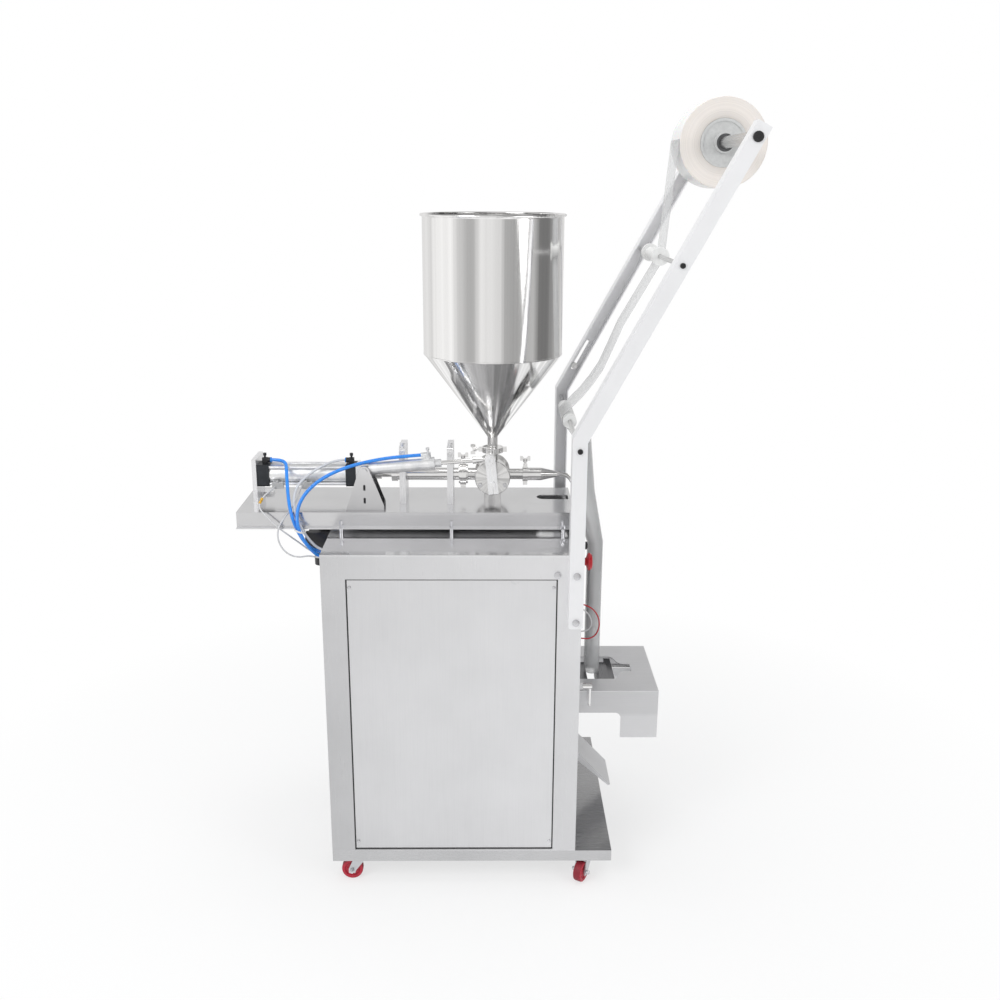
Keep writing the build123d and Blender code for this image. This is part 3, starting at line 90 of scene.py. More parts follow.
# ---------------------------------------------------------------- settings

def length(name, about, default):
    """A size in metres."""
    return FloatProperty(name=name, description=about, unit="LENGTH", default=default)


def angle(name, about, degrees):
    """An angle, given in degrees."""
    return FloatProperty(name=name, description=about, subtype="ANGLE", default=radians(degrees))


def colour(name, about, default):
    """A colour."""
    return FloatVectorProperty(name=name, description=about, subtype="COLOR", default=default)


class StageSettings(bpy.types.PropertyGroup):
    """Camera and floor."""
    eye: FloatVectorProperty(name="Camera place", description="Where the camera stands", subtype="TRANSLATION",
                             unit="LENGTH", default=(-0.01726, -2.4419, 1.5743))
    lens: FloatProperty(name="Lens", description="Focal length on a 36 mm frame", unit="CAMERA", default=38.65)
    pitch: angle("Pitch down", "Tilt below level", 16.30)
    yaw: angle("Yaw", "Turn towards the film side", 0.651)
    roll: angle("Roll", "Lean of the frame", 0.269)
    floor_radius: length("Floor radius", "Size of the round floor", 2.1)
    paper: colour("Paper", "Floor colour", (0.93, 0.93, 0.93))


class SteelSettings(bpy.types.PropertyGroup):
    """Tones of the sheet metal."""
    cabinet: colour("Cabinet", "Satin sheet of the cabinet", (0.68, 0.68, 0.69))
    rail: colour("Rail", "Pale film rails and supports", (0.90, 0.90, 0.91))
    tray: colour("Tray", "Polished trays and table", (0.66, 0.66, 0.67))
    bright: colour("Bright steel", "Polished hopper, valve and clamps", (0.88, 0.875, 0.87))
    grain: FloatProperty(name="Grain", description="Brush lines to the metre", default=900.0)


class FilmSettings(bpy.types.PropertyGroup):
    """The packing film and its roll."""
    width: length("Film width", "Width of the web", 0.116)
    gauge: length("Film gauge", "Thickness that the web is drawn with", 0.0004)
    tint: colour("Film tint", "Colour of the clear film", (0.70, 0.705, 0.71))
    wound: colour("Wound film", "Colour of the roll's side", (0.85, 0.80, 0.755))


class LineSettings(bpy.types.PropertyGroup):
    """Air tubes, cables and wires."""
    air: length("Air tube", "Outside diameter of the blue tubes", 0.008)
    clear: length("Clear tube", "Outside diameter of the clear tube", 0.006)
    cable: length("Switch cable", "Diameter of the switch cables", 0.0036)
    wire: length("Heater wire", "Diameter of the heater wires", 0.0032)
    blue: colour("Blue", "Air tube colour", (0.035, 0.27, 0.83))


class HardwareSettings(bpy.types.PropertyGroup):
    """Screws, nuts and wheels."""
    screw: length("Cover screw", "Head radius of the cover screws", 0.0041)
    bolt: length("Rail bolt", "Head radius of the rail bolts", 0.0078)
    seed: IntProperty(name="Seed", description="Fixes how far each screw is turned", default=7)
    ribs: IntProperty(name="Wheel ribs", description="Ribs in each caster wheel's web", default=6)
    tyre: colour("Wheel", "Colour of the caster wheels", (0.48, 0.020, 0.045))


# ---------------------------------------------------------------- materials

def add(tree, kind, inputs=None, **traits):
    """A new node with its traits set, and each named input given a value or a link."""
    node = tree.nodes.new(kind)
    for trait, value in traits.items():
        setattr(node, trait, value)
    for socket, value in (inputs or {}).items():
        if isinstance(value, bpy.types.NodeSocket):
            tree.links.new(value, node.inputs[socket])
        else:
            node.inputs[socket].default_value = value
    return node


def shader(name, tone, rough=0.4, metallic=0.0, **sockets):
    """A new material and its main shader, with the values that are the same all over it."""
    material = bpy.data.materials.new(name)
    material.use_nodes = True
    bsdf = material.node_tree.nodes["Principled BSDF"]
    bsdf.inputs["Base Color"].default_value = (*tone, 1.0)
    bsdf.inputs["Roughness"].default_value = rough
    bsdf.inputs["Metallic"].default_value = metallic
    for socket, value in sockets.items():
        bsdf.inputs[socket.replace("_", " ")].default_value = value
    material.diffuse_color = (*tone, 1.0)
    return material, material.node_tree, bsdf


def maths(tree, operation, *values):
    """The result of an operation on numbers."""
    return add(tree, "ShaderNodeMath", dict(enumerate(values)), operation=operation).outputs["Value"]


def mixed(tree, share, one, two):
    """Two surfaces or two backgrounds, mixed by a share."""
    return add(tree, "ShaderNodeMixShader", {"Fac": share, 1: one.outputs[0], 2: two.outputs[0]})


def place_pattern(tree, scale=(1.0, 1.0, 1.0), centre=(0.0, 0.0, 0.0)):
    """Object coordinates, centred and stretched for a pattern."""
    where = add(tree, "ShaderNodeTexCoord").outputs["Object"]
    move = [-c * s for c, s in zip(centre, scale)]
    return add(tree, "ShaderNodeMapping", {"Vector": where, "Location": move, "Scale": scale}).outputs["Vector"]


def noise(tree, scale, detail=3.0, stretch=(1.0, 1.0, 1.0)):
    """A noise pattern's value."""
    values = {"Vector": place_pattern(tree, stretch), "Scale": scale, "Detail": detail, "Roughness": 0.55}
    return add(tree, "ShaderNodeTexNoise", values).outputs["Fac"]


def bands(tree, value, scale, detail=2.0):
    """A noise pattern that changes with one number only."""
    values = {"W": value, "Scale": scale, "Detail": detail}
    return add(tree, "ShaderNodeTexNoise", values, noise_dimensions="1D").outputs["Fac"]


def spread(tree, value, low, high, start=0.3, end=0.7):
    """A pattern's value spread between two numbers."""
    values = {"Value": value, "From Min": start, "From Max": end, "To Min": low, "To Max": high}
    return add(tree, "ShaderNodeMapRange", values).outputs["Result"]


def ramped(tree, value, stops):
    """A value turned into a colour by stops from 0 to 1."""
    ramp = add(tree, "ShaderNodeValToRGB", {"Fac": value})
    marks = ramp.color_ramp.elements
    while len(marks) < len(stops):
        marks.new(0.5)
    for mark, (place, tone) in zip(marks, stops):
        mark.position = place
        mark.color = (*tone, 1.0)
    return ramp.outputs["Color"]


def rough_up(tree, bsdf, height, strength, depth, under=None):
    """A bump of real depth from a height pattern."""
    bump = add(tree, "ShaderNodeBump", {"Height": height, "Strength": strength, "Distance": depth})
    if under:
        tree.links.new(under, bump.inputs["Normal"])
    tree.links.new(bump.outputs["Normal"], bsdf.inputs["Normal"])
    return bump.outputs["Normal"]


def shade(tone, factor):
    """A colour made darker or lighter."""
    return tuple(min(1.0, c * factor) for c in tone)


def tones(tree, value, tone, low, high, start=0.3, end=0.7):
    """A pattern's value turned into darker and lighter tones of one colour."""
    return ramped(tree, value, ((start, shade(tone, low)), (end, shade(tone, high))))


def along_axis(tree, axis):
    """A point's place along one axis."""
    return add(tree, "ShaderNodeSeparateXYZ", {"Vector": place_pattern(tree)}).outputs[axis]


def from_line(tree, centre, flat=(1.0, 0.0, 1.0)):
    """A point's distance from a line through the centre, along Y unless told otherwise."""
    away = place_pattern(tree, flat, centre)
    return add(tree, "ShaderNodeVectorMath", {0: away}, operation="LENGTH").outputs["Value"]


def round_about(tree, centre, second, scale):
    """A soft pattern that changes only with the angle about a line through the centre."""
    split = add(tree, "ShaderNodeSeparateXYZ", {"Vector": place_pattern(tree, centre=centre)}).outputs
    return bands(tree, maths(tree, "ARCTAN2", split[second], split["X"]), scale, 5.0)


def dimmed(tree, tone, factor):
    """A colour times a varying factor."""
    return add(tree, "ShaderNodeVectorMath", {0: tone, "Scale": factor}, operation="SCALE").outputs["Vector"]


def picked(tree, value, edge, soft, before, after):
    """One colour where a value is below an edge, and another above it."""
    share = spread(tree, value, 0.0, 1.0, edge, edge + soft)
    values = {"Factor": share, "A": before, "B": after}
    return add(tree, "ShaderNodeMix", values, data_type="RGBA").outputs["Result"]


def link_tone_and_roughness(tree, bsdf, tone, rough=None):
    """Link a varying colour and roughness to the shader."""
    tree.links.new(tone, bsdf.inputs["Base Color"])
    if rough:
        tree.links.new(rough, bsdf.inputs["Roughness"])


def brushed(name, tone, rough, along, grain, contrast=0.08, bump=0.15, metallic=1.0, steps=()):
    """Sheet metal with brush lines along one axis, handling marks, a slight wave, and painted light and shade in
    steps along an axis, each an axis, where it starts and ends, and the tone on either side."""
    material, tree, bsdf = shader(name, tone, rough, metallic)
    stretch = [grain] * 3
    stretch[along] = grain * 0.012
    lines = noise(tree, 1.0, 2.0, stretch)
    seen = tones(tree, noise(tree, 7.0, 4.0), tone, 1 - contrast, 1 + contrast)
    # painted light and shade: each step makes the colour darker or lighter along an axis, as light falls on the
    # part
    for axis, start, end, before, after in steps:
        seen = dimmed(tree, seen, spread(tree, along_axis(tree, axis), before, after, start, end))
    link_tone_and_roughness(tree, bsdf, seen, spread(tree, lines, rough * 0.75, rough * 1.3))
    wave = rough_up(tree, bsdf, noise(tree, 2.2, 1.0), 0.25, 0.004)
    rough_up(tree, bsdf, lines, bump, 0.0003, wave)
    return material


def turned_metal(name, tone, rough, centre):
    """Polished metal turned about a line through the centre along Y, with fine rings and painted reflection
    streaks.
    """
    material, tree, bsdf = shader(name, tone, rough, 1.0)
    rings = bands(tree, from_line(tree, centre), 1400.0)
    # painted reflection: streaks in the colour that change with the angle round the line
    painted_reflection_streaks = tones(tree, round_about(tree, centre, "Z", 2.6), tone, 0.72, 1.06, 0.36, 0.60)
    link_tone_and_roughness(tree, bsdf, painted_reflection_streaks, spread(tree, rings, rough * 0.6, rough * 1.5))
    rough_up(tree, bsdf, rings, 0.2, 0.0002)
    return material


def spun_metal(name, tone, rough, centre, seam_z):
    """Spun and brushed steel about an upright line, with painted reflection bands round it, stronger below the
    seam.
    """
    material, tree, bsdf = shader(name, tone, rough, 1.0)
    reflection_and_wave_bands = round_about(tree, centre, "Y", 3.4)
    fine = noise(tree, 1.0, 2.0, (60.0, 60.0, 1500.0))
    # painted reflection: light and dark bands in the colour round the upright line, finer and stronger below the
    # seam
    above = tones(tree, reflection_and_wave_bands, tone, 0.90, 1.08, 0.35, 0.62)
    below = tones(tree, round_about(tree, centre, "Y", 5.5), tone, 0.80, 1.10, 0.40, 0.62)
    link_tone_and_roughness(tree, bsdf, picked(tree, along_axis(tree, "Z"), seam_z - 0.001, 0.001, below, above),
         spread(tree, fine, rough * 0.7, rough * 1.4))
    rough_up(tree, bsdf, fine, 0.10, 0.0002, rough_up(tree, bsdf, reflection_and_wave_bands, 0.25, 0.002))
    return material


def moulded(name, tone, rough=0.45, speck=260.0, contrast=0.06, bump=0.12, **sockets):
    """Moulded plastic with a fine skin and slight changes of tone."""
    material, tree, bsdf = shader(name, tone, rough, **sockets)
    skin = noise(tree, speck)
    link_tone_and_roughness(tree, bsdf, tones(tree, skin, tone, 1 - contrast, 1 + contrast),
         spread(tree, skin, rough * 0.85, rough * 1.15))
    rough_up(tree, bsdf, skin, bump, 0.0002)
    return material


def anodised(name, tone, rough):
    """Anodised aluminium with an even bead-blasted skin."""
    material, tree, bsdf = shader(name, tone, rough, 0.85)
    skin = noise(tree, 1400.0, 2.0)
    marks = noise(tree, 35.0, 4.0)
    link_tone_and_roughness(tree, bsdf, tones(tree, marks, tone, 0.86, 1.25), spread(tree, skin, rough * 0.85, rough * 1.2))
    rough_up(tree, bsdf, skin, 0.2, 0.0002)
    return material


def clear_film(name, tone, alpha, rough=0.14):
    """Thin clear film with long soft creases."""
    material, tree, bsdf = shader(name, tone, rough, Alpha=alpha, Specular_IOR_Level=0.8)
    crease = noise(tree, 1.0, 3.0, (9.0, 16.0, 2.2))
    link_tone_and_roughness(tree, bsdf, tones(tree, crease, tone, 0.86, 1.14), spread(tree, crease, rough * 0.7, rough * 1.6))
    rough_up(tree, bsdf, crease, 0.5, 0.004)
    return material


def wound_side(name, tone, centre):
    """Edges of thousands of layers, as rings about the roll's own line, darker towards the core."""
    material, tree, bsdf = shader(name, tone, 0.5, Subsurface_Weight=0.15, Subsurface_Radius=(0.01, 0.009, 0.007))
    away = from_line(tree, centre)
    rings = bands(tree, away, 520.0, 3.0)
    layers = tones(tree, rings, tone, 0.95, 1.05)
    link_tone_and_roughness(tree, bsdf, dimmed(tree, layers, spread(tree, away, 0.80, 1.0, 0.050, 0.072)))
    rough_up(tree, bsdf, rings, 0.3, 0.0004)
    return material


def two_tone(name, rough, speck, value_of, edge, soft, low, high):
    """Moulded plastic of two tones that meet at an edge, each a colour and how far it varies."""
    material, tree, bsdf = shader(name, high[0], rough)
    value = value_of(tree)
    skin = noise(tree, speck)
    link_tone_and_roughness(tree, bsdf, picked(tree, value, edge, soft, tones(tree, skin, *low), tones(tree, skin, *high)))
    rough_up(tree, bsdf, skin, 0.12, 0.0002)
    return material


# ---------------------------------------------------------------- mesh helpers

def piece(name, mesh, *materials):
    """A new object at the origin that shows a mesh or a curve."""
    thing = bpy.data.objects.new(name, mesh)
    bpy.context.scene.collection.objects.link(thing)
    for material in materials:
        mesh.materials.append(material)
    return thing


def smooth(mesh, angle=35.0):
    """Smooth shading with sharp edges kept."""
    mesh.shade_smooth()
    mesh.set_sharp_from_angle(angle=radians(angle))


def mesh_from(form, name, closed=True):
    """A mesh from a form. A closed one has its doubles merged and its faces pointing outwards."""
    if closed:
        bmesh.ops.remove_doubles(form, verts=form.verts, dist=1e-6)
        bmesh.ops.recalc_face_normals(form, faces=form.faces)
    mesh = bpy.data.meshes.new(name)
    form.to_mesh(mesh)
    form.free()
    return mesh


def turned(outline, place, steps=48):
    """A mesh turned about local Z from a closed radius and height outline, then placed."""
    form = bmesh.new()
    rings = []
    for step in range(steps):
        a = 2 * pi * step / steps
        rings.append([form.verts.new(place @ Vector((r * cos(a), r * sin(a), z))) for r, z in outline])
    count = len(outline)
    for step in range(steps):
        one, two = rings[step], rings[(step + 1) % steps]
        for k in range(count):
            form.faces.new((one[k], two[k], two[(k + 1) % count], one[(k + 1) % count]))
    return mesh_from(form, "turned")


def facing(direction, at=(0, 0, 0)):
    """A place whose local Z points one way."""
    turn = Vector((0, 0, 1)).rotation_difference(Vector(direction)).to_matrix().to_4x4()
    return Matrix.Translation(at) @ turn


# corners round each kind of head, and its outline as radius and height
head_kinds = {
    "hexagon": (6, [(1.0, 0.0), (1.0, 0.62), (0.9, 0.75), (0.5, 0.75), (0.5, 0.95), (0.0, 1.0)]),
    "socket": (18, [(1.0, 0.0), (1.0, 0.8), (0.9, 0.95), (0.5, 0.95), (0.46, 0.72), (0.0, 0.70)]),
    "button": (20, [(1.0, 0.0), (1.0, 0.78), (0.94, 0.90), (0.6, 0.97), (0.2, 1.0), (0.0, 1.0)]),
    "cross": (16, [(1.0, 0.0), (0.98, 0.25), (0.8, 0.5), (0.45, 0.62), (0.2, 0.6), (0.0, 0.3)]),
    "dome": (16, [(1.0, 0.0), (0.95, 0.3), (0.75, 0.55), (0.4, 0.7), (0.0, 0.74)]),
}


def head(kind, tall):
    """A screw or nut one unit in radius, standing on its face."""
    form = bmesh.new()
    steps, rows = head_kinds[kind]
    rings = []
    for r, z in rows:
        ring = []
        for step in range(steps):
            a = 2 * pi * step / steps
            reach = 0.5 if kind == "cross" and r == 0.2 and step % 4 == 0 else r
            ring.append(form.verts.new((reach * cos(a), reach * sin(a), z * tall)))
        rings.append(ring)
    for one, two in zip(rings, rings[1:]):
        for step in range(steps):
            after = (step + 1) % steps
            form.faces.new((one[step], one[after], two[after], two[step]))
    form.faces.new(list(reversed(rings[0])))
    mesh = mesh_from(form, kind)
    smooth(mesh, 30)
    return mesh


def scatter_tree():
    """Node tree that stands one head on each point, along the point's facing, turned by a seeded amount."""
    tree = bpy.data.node_groups.new("Heads on points", "GeometryNodeTree")
    for name, way, kind in (
            ("Points", "INPUT", "Geometry"), ("Head", "INPUT", "Object"), ("Radius", "INPUT", "Float"),
            ("Seed", "INPUT", "Int"), ("Finish", "INPUT", "Material"), ("Heads", "OUTPUT", "Geometry")):
        tree.interface.new_socket(name, in_out=way, socket_type="NodeSocket" + kind)
    given = add(tree, "NodeGroupInput").outputs
    form = add(tree, "GeometryNodeObjectInfo", {"Object": given["Head"]}).outputs["Geometry"]
    way = add(tree, "GeometryNodeInputNamedAttribute", {"Name": "facing"}, data_type="FLOAT_VECTOR")
    aim = add(tree, "FunctionNodeAlignRotationToVector", {"Vector": way.outputs["Attribute"]}, axis="Z")
    chance = add(tree, "FunctionNodeRandomValue", {"Min": 0.0, "Max": 6.283, "Seed": given["Seed"]},
                 data_type="FLOAT")
    spin = add(tree, "ShaderNodeCombineXYZ", {"Z": chance.outputs["Value"]})
    turn = add(tree, "FunctionNodeEulerToRotation", {"Euler": spin.outputs["Vector"]})
    both = add(tree, "FunctionNodeRotateRotation",
               {"Rotation": aim.outputs["Rotation"], "Rotate By": turn.outputs["Rotation"]},
               rotation_space="LOCAL")
    stand = add(tree, "GeometryNodeInstanceOnPoints",
                {"Points": given["Points"], "Instance": form, "Rotation": both.outputs["Rotation"],
                 "Scale": given["Radius"]})
    real = add(tree, "GeometryNodeRealizeInstances", {"Geometry": stand.outputs["Instances"]})
    finish = add(tree, "GeometryNodeSetMaterial",
                 {"Geometry": real.outputs["Geometry"], "Material": given["Finish"]})
    add(tree, "NodeGroupOutput", {"Heads": finish.outputs["Geometry"]})
    return tree


def shown_mesh(thing):
    """A new mesh of what an object shows with its modifiers or bevel."""
    bpy.context.view_layer.update()
    return bpy.data.meshes.new_from_object(thing.evaluated_get(bpy.context.evaluated_depsgraph_get()))


def plain_copy(holder, name):
    """A plain mesh object of what an object with modifiers shows, which is then removed."""
    mesh = shown_mesh(holder)
    holder.modifiers.clear()
    bpy.data.objects.remove(holder)
    mesh.name = name
    return piece(name, mesh)


def heads(name, kind, radius, body, finish, places, seed, tall=1.0):
    """Heads of one kind on given places, each a point and the way it faces."""
    cloud = bpy.data.meshes.new(name + "_points")
    cloud.from_pydata([p for p, _ in places], [], [])
    ways = cloud.attributes.new("facing", "FLOAT_VECTOR", "POINT")
    ways.data.foreach_set("vector", [c for _, way in places for c in way])
    holder = piece(name + "_holder", cloud)
    pattern = piece(name + "_head", head(kind, tall))
    tree = bpy.data.node_groups.get("Heads on points") or scatter_tree()
    nodes_on = holder.modifiers.new("Heads", "NODES")
    nodes_on.node_group = tree
    values = {"Head": pattern, "Radius": radius, "Seed": seed, "Finish": finish}
    for item in tree.interface.items_tree:
        if item.in_out == "INPUT" and item.name in values:
            nodes_on[item.identifier] = values[item.name]
    made = plain_copy(holder, name)
    bpy.data.objects.remove(pattern)
    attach(made, body)


def finished(name):
    """A finish that an earlier step made."""
    return bpy.data.materials[name]


# ---------------------------------------------------------------- operators

class PACKER_OT_finishes(bpy.types.Operator):
    """Give every CAD node its finish"""
    bl_idname = "packer.finishes"
    bl_label = "Finishes"

    def execute(self, context):
        steel = context.scene.packer_steel
        grain = steel.grain
        top_edge = table_z - 0.0005
        guard_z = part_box("guard")[1].z
        forks = tuple("caster_fork_" + c for c in corners)
        disc, hub = ((0.60, 0.605, 0.60), 0.93, 1.06), ((0.075, 0.076, 0.078), 0.8, 1.3)
        grey, black = ((0.50, 0.50, 0.50), 0.9, 1.1), ((0.018, 0.018, 0.020), 0.8, 1.3)
        rows = (
            # painted shade and light: the cabinet sheet darker towards the rear and the foot, lighter towards the
            # front and top
            ("cabinet sheet", brushed, (steel.cabinet, 0.36, z_along, grain, 0.03, 0.06, 0.85,
             (("X", rear_x, front_x, 0.84, 1.06), ("Z", 0.4, table_z, 0.96, 1.18))), ("cabinet_frame",)),
            # painted shade and light: the cover sheet slightly darker towards the rear and the foot, lighter
            # towards the front and top
            ("cover sheet", brushed, (shade(steel.cabinet, 1.10), 0.42, z_along, grain, 0.025, 0.05, 0.85,
             (("X", rear_x, front_x, 0.93, 1.05), ("Z", 0.1, table_z, 0.95, 1.03))),
             ("cover_panels", "front_panel")),
            # painted light: the guard's top face made lighter, and the chute below 0.37 m lighter than the guard
            ("guard sheet", brushed, (shade(steel.cabinet, 0.92), 0.42, x_along, grain, 0.03, 0.06, 0.75,
             (("Z", guard_z - 0.002, guard_z - 0.0005, 1.0, 1.22), ("Z", 0.36, 0.37, 1.12, 1.0))),
             ("guard", "chute")),
            ("rail sheet", brushed, (steel.rail, 0.42, z_along, grain, 0.02, 0.04, 0.35),
             ("film_rail_near", "film_rail_far")),
            ("support sheet", brushed, (steel.rail, 0.30, z_along, grain, 0.03, 0.05, 0.80),
             ("cylinder_supports",)),
            # painted reflection: the table's front face below its top edge made much lighter
            ("table sheet", brushed, (shade(steel.tray, 1.02), 0.10, x_along, grain, 0.08, 0.04, 0.90,
             (("Z", top_edge - 0.002, top_edge, 1.40, 1.0),)), ("cabinet_top",)),
            # painted light: the tray's front skirt made lighter below its top, and its bottom lip lighter still
            ("tray sheet", brushed, (steel.tray, 0.16, x_along, grain, 0.05, 0.05, 0.92,
             (("Z", table_z + 0.0460, table_z + 0.0475, 1.08, 1.0),
              ("Z", table_z + 0.0125, table_z + 0.0135, 1.20, 1.0))), ("filler_tray",)),
            # painted shade: the bracket darker towards its foot and lighter towards its top
            ("bracket sheet", brushed, (shade(steel.tray, 1.05), 0.16, z_along, grain, 0.06, 0.05, 1.0,
             (("Z", table_z + 0.048, table_z + 0.145, 0.80, 1.10),)), ("clevis_bracket",)),
            # partly painted shade: the base tray's steel is made darker, standing for the shade on its top as well
            # as its own tone
            ("foot sheet", brushed, (shade(steel.tray, 0.86), 0.24, x_along, grain, 0.05, 0.06), ("base_tray",)),
            # painted reflection bands round the hopper
            ("hopper steel", spun_metal, (steel.bright, 0.09, valve, seam_z), ("hopper",)),
            ("clamp steel", brushed, (steel.bright, 0.14, y_along, 300.0, 0.10, 0.15), ("pipe_clamps", "nozzle")),
            # painted reflection streaks round the valve
            ("valve steel", turned_metal, (shade(steel.bright, 0.92), 0.16, valve),
             ("valve_body", "valve_covers")),
            ("crank steel", brushed, (shade(steel.rail, 1.04), 0.26, z_along, 500.0, 0.04, 0.08, 0.75),
             ("valve_spool", "crank_plate")),
            ("tube steel", brushed, (shade(steel.bright, 0.92), 0.11, z_along, 500.0, 0.08, 0.10),
             ("filling_pipe", "bag_former")),
            ("rod steel", brushed, (steel.bright, 0.09, x_along, 700.0, 0.05, 0.08),
             ("piston_rod", "valve_rod", "metering_cylinder", "clamp_lever")),
            ("shaft steel", brushed, ((0.66, 0.66, 0.66), 0.24, y_along, 500.0, 0.08, 0.10),
             ("film_shafts", "jaw_drive")),
            ("bolt steel", brushed, ((0.66, 0.66, 0.68), 0.20, z_along, 400.0, 0.12, 0.15), ("fasteners",)),
            ("zinc plate", brushed, ((0.62, 0.63, 0.65), 0.33, z_along, 300.0, 0.10, 0.15), forks),
            ("blade steel", brushed, ((0.32, 0.33, 0.35), 0.20, y_along, 900.0, 0.08, 0.20), ("cutter",)),
            # partly painted shade: the jaws' metal is made dark, standing for the shade inside the guard
            ("jaw metal", brushed, ((0.26, 0.26, 0.27), 0.34, y_along, 600.0, 0.10, 0.20),
             ("rear_jaw", "front_jaw", "vertical_sealer")),
            ("cap dark", anodised, ((0.050, 0.054, 0.060), 0.42), ("air_cylinder_caps",)),
            ("barrel aluminium", anodised, ((0.84, 0.855, 0.88), 0.32), ("air_cylinder_barrel", "valve_cylinder")),
            ("fittings", two_tone, (0.38, 260.0, lambda tree: along_axis(tree, "Z"), table_z + 0.104, 0.0004,
             grey, black), ("air_fittings",)),
            ("service black", moulded, ((0.022, 0.022, 0.025), 0.25), ("air_service_unit",)),
            ("roll holder", two_tone, (0.42, 160.0, lambda tree: from_line(tree, roll_mid), 0.0185, 0.0006,
             hub, disc), ("roll_holder",)),
            ("roller white", moulded, ((0.82, 0.82, 0.81), 0.42, 180.0, 0.03),
             ("upper_guide_roller", "lower_guide_roller")),
            ("collar white", moulded, ((0.70, 0.70, 0.70), 0.35, 200.0, 0.04), ("control_collars",)),
            ("button red", moulded, ((0.50, 0.012, 0.022), 0.30, 150.0, 0.05, 0.05), ("emergency_stop",)),
            ("button black", moulded, ((0.012, 0.012, 0.013), 0.45), ("start_button",)),
            # painted shadow: a dark strip put in the gap round each side cover, where there is only shade
            ("cover seal", moulded, ((0.035, 0.035, 0.036), 0.6, 400.0, 0.1), ()),
        )
        for finish, make, values, names in rows:
            material = make(finish, *values)
            for name in names:
                nodes[name].data.materials.clear()
                nodes[name].data.materials.append(material)
        return {"FINISHED"}


def route_curve(name, points, diameter, material):
    """A round line along a smooth spline with the route's points as its control points."""
    curve = bpy.data.curves.new(name, "CURVE")
    curve.dimensions = "3D"
    spline = curve.splines.new("NURBS")
    spline.points.add(len(points) - 1)
    for knot, (x, y, z) in zip(spline.points, points):
        knot.co = (x, y, z, 1.0)
    spline.order_u = 3
    spline.use_endpoint_u = True
    spline.resolution_u = 10
    curve.bevel_depth = diameter / 2
    curve.bevel_resolution = 4
    curve.use_fill_caps = True
    return piece(name, curve, material)


def followed_points(line):
    """Points of a line's own middle, read from it with no thickness."""
    depth = line.data.bevel_depth
    line.data.bevel_depth = 0.0
    mesh = shown_mesh(line)
    points = [tuple(v.co) for v in mesh.vertices]
    bpy.data.meshes.remove(mesh)
    line.data.bevel_depth = depth
    return points


blue_tube_rear = [
    (-0.52636, 0.0, 0.9575), (-0.50396, 0.0, 0.9575), (-0.488, -0.015, 0.9535), (-0.4826, -0.042, 0.9461),
    (-0.4765, -0.074, 0.9168), (-0.4698, -0.104, 0.8899), (-0.4608, -0.129, 0.8644), (-0.4512, -0.134, 0.8353),
    (-0.4385, -0.131, 0.8059), (-0.4232, -0.121, 0.781), (-0.402, -0.112, 0.769), (-0.37996, -0.112, 0.762)]
blue_tube_front = [
    (-0.16987, -0.08, 0.98935), (-0.19977, -0.08, 0.98682), (-0.2486, -0.084, 0.9828), (-0.3026, -0.088, 0.973),
    (-0.3519, -0.094, 0.9588), (-0.3924, -0.101, 0.9398), (-0.421, -0.110, 0.9175), (-0.4396, -0.120, 0.8934),
    (-0.4473, -0.131, 0.8674), (-0.445, -0.145, 0.8412), (-0.4348, -0.145, 0.8105), (-0.4187, -0.135, 0.781),
    (-0.402, -0.123, 0.761), (-0.37996, -0.123, 0.751)]
clear_tube = [
    (-0.35036, 0.0, 0.9575), (-0.37196, 0.0, 0.9575), (-0.4044, -0.030, 0.9493), (-0.4315, -0.046, 0.9348),
    (-0.4536, -0.066, 0.9154), (-0.460, -0.092, 0.8935), (-0.4548, -0.118, 0.874), (-0.4456, -0.131, 0.8474),
    (-0.433, -0.133, 0.8208), (-0.4167, -0.129, 0.7957), (-0.402, -0.124, 0.780), (-0.37996, -0.124, 0.772)]
rear_switch_cable = [
    (-0.51336, -0.036, 0.901), (-0.51336, -0.052, 0.901), (-0.531, -0.076, 0.892), (-0.5385, -0.108, 0.8756),
    (-0.5206, -0.128, 0.8616), (-0.5011, -0.131, 0.8419), (-0.4826, -0.131, 0.826), (-0.4649, -0.122, 0.8076),
    (-0.4452, -0.110, 0.7869), (-0.4246, -0.102, 0.766), (-0.402, -0.101, 0.765), (-0.37996, -0.101, 0.763)]
front_switch_cable = [
    (-0.44996, -0.036, 0.904), (-0.44996, -0.054, 0.904), (-0.452, -0.078, 0.889), (-0.4578, -0.098, 0.8769),
    (-0.4635, -0.112, 0.871), (-0.4722, -0.123, 0.8602), (-0.4869, -0.134, 0.8412), (-0.4924, -0.141, 0.8186),
    (-0.4864, -0.144, 0.7935), (-0.4693, -0.145, 0.7736), (-0.4461, -0.144, 0.7661), (-0.4227, -0.141, 0.7699),
    (-0.402, -0.134, 0.762), (-0.37996, -0.134, 0.760)]
red_heater_wire = [
    (0.18344, -0.052, 0.618), (0.203, -0.052, 0.618), (0.224, -0.050, 0.610), (0.240, -0.046, 0.596),
    (0.250, -0.044, 0.575), (0.251, -0.044, 0.553), (0.243, -0.045, 0.533), (0.226, -0.047, 0.524),
    (0.207, -0.050, 0.528), (0.18344, -0.050, 0.528)]
white_heater_wire = [
    (0.18344, -0.040, 0.603), (0.203, -0.040, 0.603), (0.218, -0.041, 0.594), (0.229, -0.042, 0.580),
    (0.233, -0.042, 0.563), (0.228, -0.041, 0.547), (0.212, -0.040, 0.540), (0.18344, -0.040, 0.540)]


